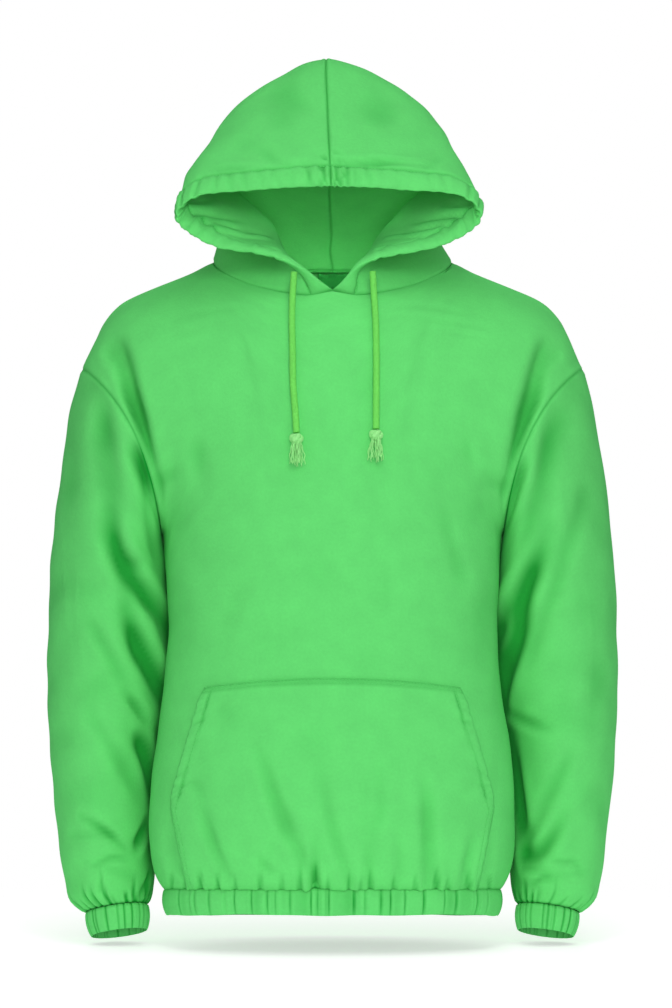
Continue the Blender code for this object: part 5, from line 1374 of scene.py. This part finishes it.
def add_tassel(name, route, seed):
    """A knot under the cord's end, with strands of chance length and wave hanging from it."""
    chance = np.random.default_rng(seed)
    middle = np.array(route[-1]) - np.array([0.0, 0.0, KNOT_GAP + KNOT_HEIGHT / 2])
    grids = knot_grids(middle)
    share = np.linspace(0.0, 1.0, STRAND_PLACES)
    for number in range(STRANDS):
        turn = number * GOLDEN_ANGLE + chance.uniform(-0.3, 0.3)
        ring = math.sqrt((number + 0.5) / STRANDS)
        out = np.array([math.cos(turn), KNOT_FLATNESS * math.sin(turn), 0.0]) * ring
        long = TASSEL_LENGTH * chance.uniform(0.80, 1.02)
        foot = middle + out * KNOT_CORE_RADIUS - np.array([0.0, 0.0, KNOT_HEIGHT * 0.30])
        swing = STRAND_SWING * chance.normal(size=2)
        line = foot + np.outer(ease(share * 1.4) * (1 - 0.25 * share), out * STRAND_SPREAD)
        line -= np.outer(share * long, [0, 0, 1.0])
        for axis in (0, 1):
            wave = np.sin(share * chance.uniform(11, 17) + chance.uniform(0, 6))
            line[:, axis] += swing[axis] * share + STRAND_WAVE * wave * ease(share * 3)
        thin = STRAND_RADIUS * chance.uniform(0.85, 1.25) * (1 - 0.35 * share ** 3)
        grids.append(tube_grid(line, thin, 6))
    return tube_mesh(name, grids)


cord_left = add_cord("left_drawcord", LEFT_CORD_ROUTE)
cord_right = add_cord("right_drawcord", RIGHT_CORD_ROUTE)
tassel_left = add_tassel("left_tassel", LEFT_CORD_ROUTE, 61)
tassel_right = add_tassel("right_tassel", RIGHT_CORD_ROUTE, 62)

# %% [markdown]
# ## Stitches
# Rows of thread hold the casing of the hood and the pocket's top, sides and turned mouths.  Every stitch
# is a short rounded bar of thread that dips into the cloth at both its ends.

# %% Rows of stitches
STITCH = 0.0026
STITCH_PITCH = 0.0034
THREAD_RADIUS = 0.00030
SIDE_STITCHES = (0.0035, 0.0095)  # rows beside the pocket's lower sides
SIDE_COLUMN = 5               # column of the pocket whose normals its side stitches take


def stitch_grids(line, normals):
    """Stitches along a line on the cloth: each an arc of seven rings, six-sided, sunk at its ends."""
    run = running(line)
    count = int(run[-1] / STITCH_PITCH)
    middles = (np.arange(count) + 0.5) * run[-1] / count
    offsets = np.linspace(-0.5, 0.5, 7)
    places = middles[:, None] + offsets[None, :] * STITCH
    points, lift = sampled(places, run, line), sampled(places, run, normals)
    points += lift * (THREAD_RADIUS * (0.9 - 14.0 * offsets ** 4))[None, :, None]
    return [tube_grid(one, THREAD_RADIUS * np.sqrt(1.05 - 3.4 * offsets ** 2), 6) for one in points]


def at_height(grid, heights, z):
    """The row of a grid at a height between its own rows."""
    return np.stack([sampled(z, heights, grid[:, column]) for column in range(grid.shape[1])])


def beside_edge(grid, distance, rows, last):
    """Points at a distance over the cloth from its first or last column, one for each row."""
    lines = [row[::-1] if last else row for row in grid[rows]]
    return np.array([sampled(distance, running(line), line) for line in lines])


def add_pocket_stitches():
    grid = surfaces["kangaroo_pocket"]
    normals = normals_of(grid)
    heights = grid[:, grid.shape[1] // 2, 2]
    top, wide = heights[-1], POCKET_CORNERS[1][1]
    rows = [[at_height(values, heights, top - down) for values in (grid, normals)] for down in TOP_STITCHES]
    mouth = np.flatnonzero((heights > wide - 0.004) & (heights < top - 0.003))
    below = np.flatnonzero(heights <= wide + 0.001)
    for last, column in ((False, SIDE_COLUMN), (True, -1 - SIDE_COLUMN)):
        for distance, part in ((MOUTH_HEM, mouth), *((place, below) for place in SIDE_STITCHES)):
            rows.append([beside_edge(grid, distance, part, last), normals[part][:, column]])
    return tube_mesh("pocket_stitches", [one for row in rows for one in stitch_grids(*row)])


pocket_stitches = add_pocket_stitches()
casing_stitches = tube_mesh("casing_stitches", [one for row in casing_lines for one in stitch_grids(*row)])

# %% [markdown]
# ## Finishes
# All the cloth is one brushed fleece: matte, with a short nap, faint upright wales, cloudy patches of
# dye and a soft bloom where the surface turns away.  The masks on the pieces paint shade into the folds,
# and paint shade, partly seam dirt, along the seams.

# %% Fleece
FLEECE_GREEN = (0.104, 0.560, 0.134, 1.0)
# The fleece in painted shade: the masks mix this colour into folds, creases, gathers and seams.
FLEECE_PAINTED_SHADE = (0.003, 0.250, 0.022, 1.0)
RIB_GREEN = (0.100, 0.545, 0.132, 1.0)
CORD_GREEN = (0.130, 0.560, 0.085, 1.0)
TASSEL_GREEN = (0.270, 0.700, 0.230, 1.0)
LABEL_GREEN = (0.035, 0.400, 0.070, 1.0)
SHEEN_GREEN = (0.12, 1.0, 0.25, 1.0)
WHITE = (1.0, 1.0, 1.0, 1.0)
DYE_SCALE = 34.0              # clouds of dye, fluff and wales, in cells for each metre
FLUFF_SCALE = 330.0
WALE_SCALE = 900.0
WALE_STRETCH = (1.0, 0.28, 1.0)
HOLLOW_SHADE = 0.90           # share of the painted shade colour in the folds
SEAM_SHARE = 0.45             # and along the seams and stitches: painted shade that partly stands for seam dirt
NAP_HEIGHT = 0.0005


def node(tree, kind, links=None, output=0, **values):
    """One output of a new node, after its settings, and its sockets' values or links, are in place."""
    made = tree.nodes.new("ShaderNode" + kind)
    for name, value in values.items():
        setattr(made, name, value)
    for socket, source in (links or {}).items():
        if hasattr(source, "is_output"):
            tree.links.new(source, made.inputs[socket])
        else:
            made.inputs[socket].default_value = source
    return made.outputs[output]


def fleece_group():
    """Colours, roughness and normal of brushed fleece from its cloth coordinates and masks; the masks mix in
    painted shade.
    """
    tree = bpy.data.node_groups.new("brushed_fleece", "ShaderNodeTree")
    for name, way, kind in (("Colour", "INPUT", "Color"), ("Painted shade colour", "INPUT", "Color"),
                            ("Nap", "INPUT", "Float"), ("Colour", "OUTPUT", "Color"),
                            ("Roughness", "OUTPUT", "Float"), ("Normal", "OUTPUT", "Vector")):
        tree.interface.new_socket(name, in_out=way, socket_type="NodeSocket" + kind)

    def noise(place, scale, detail, roughness):
        return node(tree, "TexNoise", {"Vector": place, "Scale": scale, "Detail": detail,
                                       "Roughness": roughness})

    def between(value, low, high):
        return node(tree, "MapRange", {"Value": value, "From Min": 0.3, "From Max": 0.7,
                                       "To Min": low, "To Max": high})

    def math_node(operation, first, second, **values):
        return node(tree, "Math", {0: first, 1: second}, operation=operation, **values)

    given = tree.nodes.new("NodeGroupInput").outputs
    cloth = node(tree, "UVMap", uv_map="cloth")
    dye = noise(cloth, DYE_SCALE, 3.0, 0.6)
    fluff = noise(cloth, FLUFF_SCALE, 3.0, 0.7)
    stretched = node(tree, "VectorMath", {0: cloth, 1: WALE_STRETCH}, operation="MULTIPLY")
    wales = noise(stretched, WALE_SCALE, 2.0, 0.6)
    painted_shade, seam = (node(tree, "Attribute", output="Fac", attribute_name=mask) for mask in ("painted_shade", "seam"))
    # Painted shade: the fold mask and the seam mask mix the deep colour into the fleece's own colour.
    deep = math_node("MULTIPLY", painted_shade, HOLLOW_SHADE)
    total = math_node("ADD", deep, math_node("MULTIPLY", seam, SEAM_SHARE), use_clamp=True)
    mixed = node(tree, "Mix", {0: total, 6: given["Colour"], 7: given["Painted shade colour"]}, 2, data_type="RGBA")
    light = math_node("MULTIPLY", between(dye, 0.95, 1.04), between(fluff, 0.965, 1.03))
    coloured = node(tree, "VectorMath", {0: mixed, "Scale": light}, operation="SCALE")
    raised = math_node("ADD", fluff, wales)
    bump = node(tree, "Bump", {"Strength": given["Nap"], "Distance": NAP_HEIGHT, "Height": raised})
    result = tree.nodes.new("NodeGroupOutput")
    for name, source in (("Colour", coloured), ("Roughness", between(dye, 0.88, 1.0)), ("Normal", bump)):
        tree.links.new(source, result.inputs[name])
    return tree


def material_of(name, **values):
    """A new material with its node tree and its main shader, whose sockets have the given values."""
    material = bpy.data.materials.new(name)
    material.use_nodes = True
    shader = material.node_tree.nodes["Principled BSDF"]
    for socket, value in values.items():
        shader.inputs[socket.replace("_", " ")].default_value = value
    return material, material.node_tree, shader


def cloth_finish(name, group, colour, deep, nap, sheen):
    # The deep colour is the painted shade that the masks mix in over the cloth's own colour.
    material, tree, shader = material_of(name, Specular_IOR_Level=0.12, Sheen_Weight=sheen,
                                         Sheen_Roughness=0.55, Sheen_Tint=SHEEN_GREEN)
    look = node(tree, "Group", node_tree=group).node
    for socket, value in (("Colour", colour), ("Painted shade colour", deep), ("Nap", nap)):
        look.inputs[socket].default_value = value
    for output, socket in (("Colour", "Base Color"), ("Roughness", "Roughness"), ("Normal", "Normal")):
        tree.links.new(look.outputs[output], shader.inputs[socket])
    material.diffuse_color = colour
    return material


brushed = fleece_group()
fleece = cloth_finish("fleece", brushed, FLEECE_GREEN, FLEECE_PAINTED_SHADE, nap=0.35, sheen=0.12)
ruched = cloth_finish("elastic_fleece", brushed, RIB_GREEN, FLEECE_PAINTED_SHADE, nap=0.35, sheen=0.12)
cord_finish = cloth_finish("braided_cord", brushed, CORD_GREEN, FLEECE_PAINTED_SHADE, nap=0.30, sheen=0.12)
frayed = cloth_finish("frayed_cord", brushed, TASSEL_GREEN, CORD_GREEN, nap=0.20, sheen=0.15)
woven = cloth_finish("woven_label", brushed, LABEL_GREEN, LABEL_GREEN, nap=0.25, sheen=0.05)
thread = cloth_finish("thread", brushed, RIB_GREEN, FLEECE_PAINTED_SHADE, nap=0.10, sheen=0.05)
print("finishes:", ", ".join(material.name for material in bpy.data.materials))

# %% [markdown]
# ## Which piece is which
# Each piece takes the place of its solids, takes its finish and rides on the hoodie's one body.

# %% Dress the solids
PIECES = (
    # piece, finish, slot, solids that it replaces
    (front, fleece, "fleece", ("front",)),
    (back, fleece, "fleece", ("back",)),
    (sleeve_left, fleece, "fleece", ("sleeve_left",)),
    (sleeve_right, fleece, "fleece", ("sleeve_right",)),
    (cuff_left, ruched, "elastic_fleece", ("cuff_left",)),
    (cuff_right, ruched, "elastic_fleece", ("cuff_right",)),
    (hem, ruched, "elastic_fleece", ("hem_band",)),
    (hood_left, fleece, "fleece", ("hood_left",)),
    (hood_right, fleece, "fleece", ("hood_right",)),
    (pocket, fleece, "fleece", ("pocket",)),
    (label, woven, "label", ("neck_label",)),
    (cord_left, cord_finish, "cord", ("drawcord_left",)),
    (cord_right, cord_finish, "cord", ("drawcord_right",)),
    (tassel_left, frayed, "frayed_cord", ("tassel_left",)),
    (tassel_right, frayed, "frayed_cord", ("tassel_right",)),
    (pocket_stitches, thread, "fleece", ()),
    (casing_stitches, thread, "fleece", ()),
)
for piece, finish, slot, solids in PIECES:
    piece.data.materials.append(finish)
    if solids:
        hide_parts(*solids)
    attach(piece, "root")

# %% [markdown]
# ## Studio
# A white floor lies under the hoodie and fades into a white room.  A broad soft light in front does most
# of the work and a low one sends light up into the hood, so folds shade only gently.

# %% Floor and lights
FLOOR_Z = -0.714
FLOOR_RISE = 0.08             # towards the back, so that a low camera sees the shadow on it
FLOOR_HALF = 2.0
FLOOR_WHITE = (0.80, 0.80, 0.80, 1.0)
FLOOR_GLOW = 0.50             # the floor is lit through from below as well
FLOOR_FADES = (0.30, 0.90)    # from and to this distance from the hoodie's middle it fades away
FLOOR_FADE_SHAPE = (0.6, 1.0, 0.0)  # the fade reaches further sideways than it does in depth
WORLD_STRENGTH = 0.38
CHEST = (0.0, 0.0, -0.2)      # what most of the lights are aimed at
LIGHTS = (
    # name, place, size, power in watts, colour, what it is aimed at
    ("front_light", (0.3, -3.0, -0.2), 1.6, 23.0, WHITE[:3], CHEST),
    ("low_light", (0.0, -2.2, -0.62), 0.5, 9.5, WHITE[:3], CHEST),
    ("left_light", (-2.3, -2.0, 0.0), 1.6, 4.0, WHITE[:3], CHEST),
    ("right_light", (2.3, -2.0, 0.0), 1.6, 2.2, WHITE[:3], CHEST),
    ("hood_light", (0.05, -1.0, 0.12), 0.35, 2.6, WHITE[:3], (0.0, 0.0, 0.05)),
    ("hood_glow", (0.0, -0.05, 0.02), 0.06, 0.050, (0.50, 1.0, 0.60), (0.0, 0.10, 0.10)),
    ("back_light", (-0.4, 3.0, 0.6), 1.8, 30.0, WHITE[:3], CHEST),
    ("top_light", (0.2, -0.9, 1.9), 1.6, 13.0, WHITE[:3], CHEST),
)


def add_studio():
    """The floor: one large square that rises a little towards the back and fades away from the middle."""
    corners = np.array([[-1, -1], [1, -1], [1, 1], [-1, 1]]) * FLOOR_HALF
    points = np.concatenate([corners, FLOOR_Z + FLOOR_RISE * corners[:, 1:]], axis=1)
    floor = mesh_from("studio", points, np.array([[0, 1, 2, 3]]), np.zeros((4, 2)))
    material, tree, shader = material_of("studio_white", Base_Color=FLOOR_WHITE, Roughness=0.9,
                                         Specular_IOR_Level=0.1, Emission_Color=WHITE,
                                         Emission_Strength=FLOOR_GLOW)
    place = node(tree, "NewGeometry", output="Position")
    narrow = node(tree, "VectorMath", {0: place, 1: FLOOR_FADE_SHAPE}, operation="MULTIPLY")
    away = node(tree, "VectorMath", {0: narrow}, "Value", operation="LENGTH")
    start, end = FLOOR_FADES
    fading = node(tree, "MapRange", {"Value": away, "From Min": start, "From Max": end},
                  interpolation_type="SMOOTHSTEP")
    clear = node(tree, "BsdfTransparent")
    faded = node(tree, "MixShader", {0: fading, 1: shader.outputs[0], 2: clear})
    tree.links.new(faded, tree.nodes["Material Output"].inputs["Surface"])
    floor.data.materials.append(material)
    return floor


def add_lights():
    for name, place, size, power, colour, aimed_at in LIGHTS:
        light = bpy.data.lights.new(name, "AREA")
        light.shape = "DISK"
        light.size = size
        light.energy = power
        light.color = colour
        lamp = bpy.data.objects.new(name, light)
        lamp.location = place
        aim = Vector(aimed_at) - Vector(place)
        lamp.rotation_euler = aim.to_track_quat("-Z", "Y").to_euler()
        lamp.visible_camera = False
        bpy.context.collection.objects.link(lamp)
        print(name, power, "W")


def add_world():
    """A white room: the camera sees it white, and it lights the hoodie more softly."""
    world = bpy.data.worlds.new("white_room")
    world.use_nodes = True
    tree = world.node_tree
    background = tree.nodes["Background"]
    background.inputs["Color"].default_value = WHITE
    seen = node(tree, "LightPath", output="Is Camera Ray")
    strength = node(tree, "Math", {0: seen, 1: 1.0 - WORLD_STRENGTH, 2: WORLD_STRENGTH},
                    operation="MULTIPLY_ADD")
    tree.links.new(strength, background.inputs["Strength"])
    bpy.context.scene.world = world


studio = add_studio()
add_lights()
add_world()
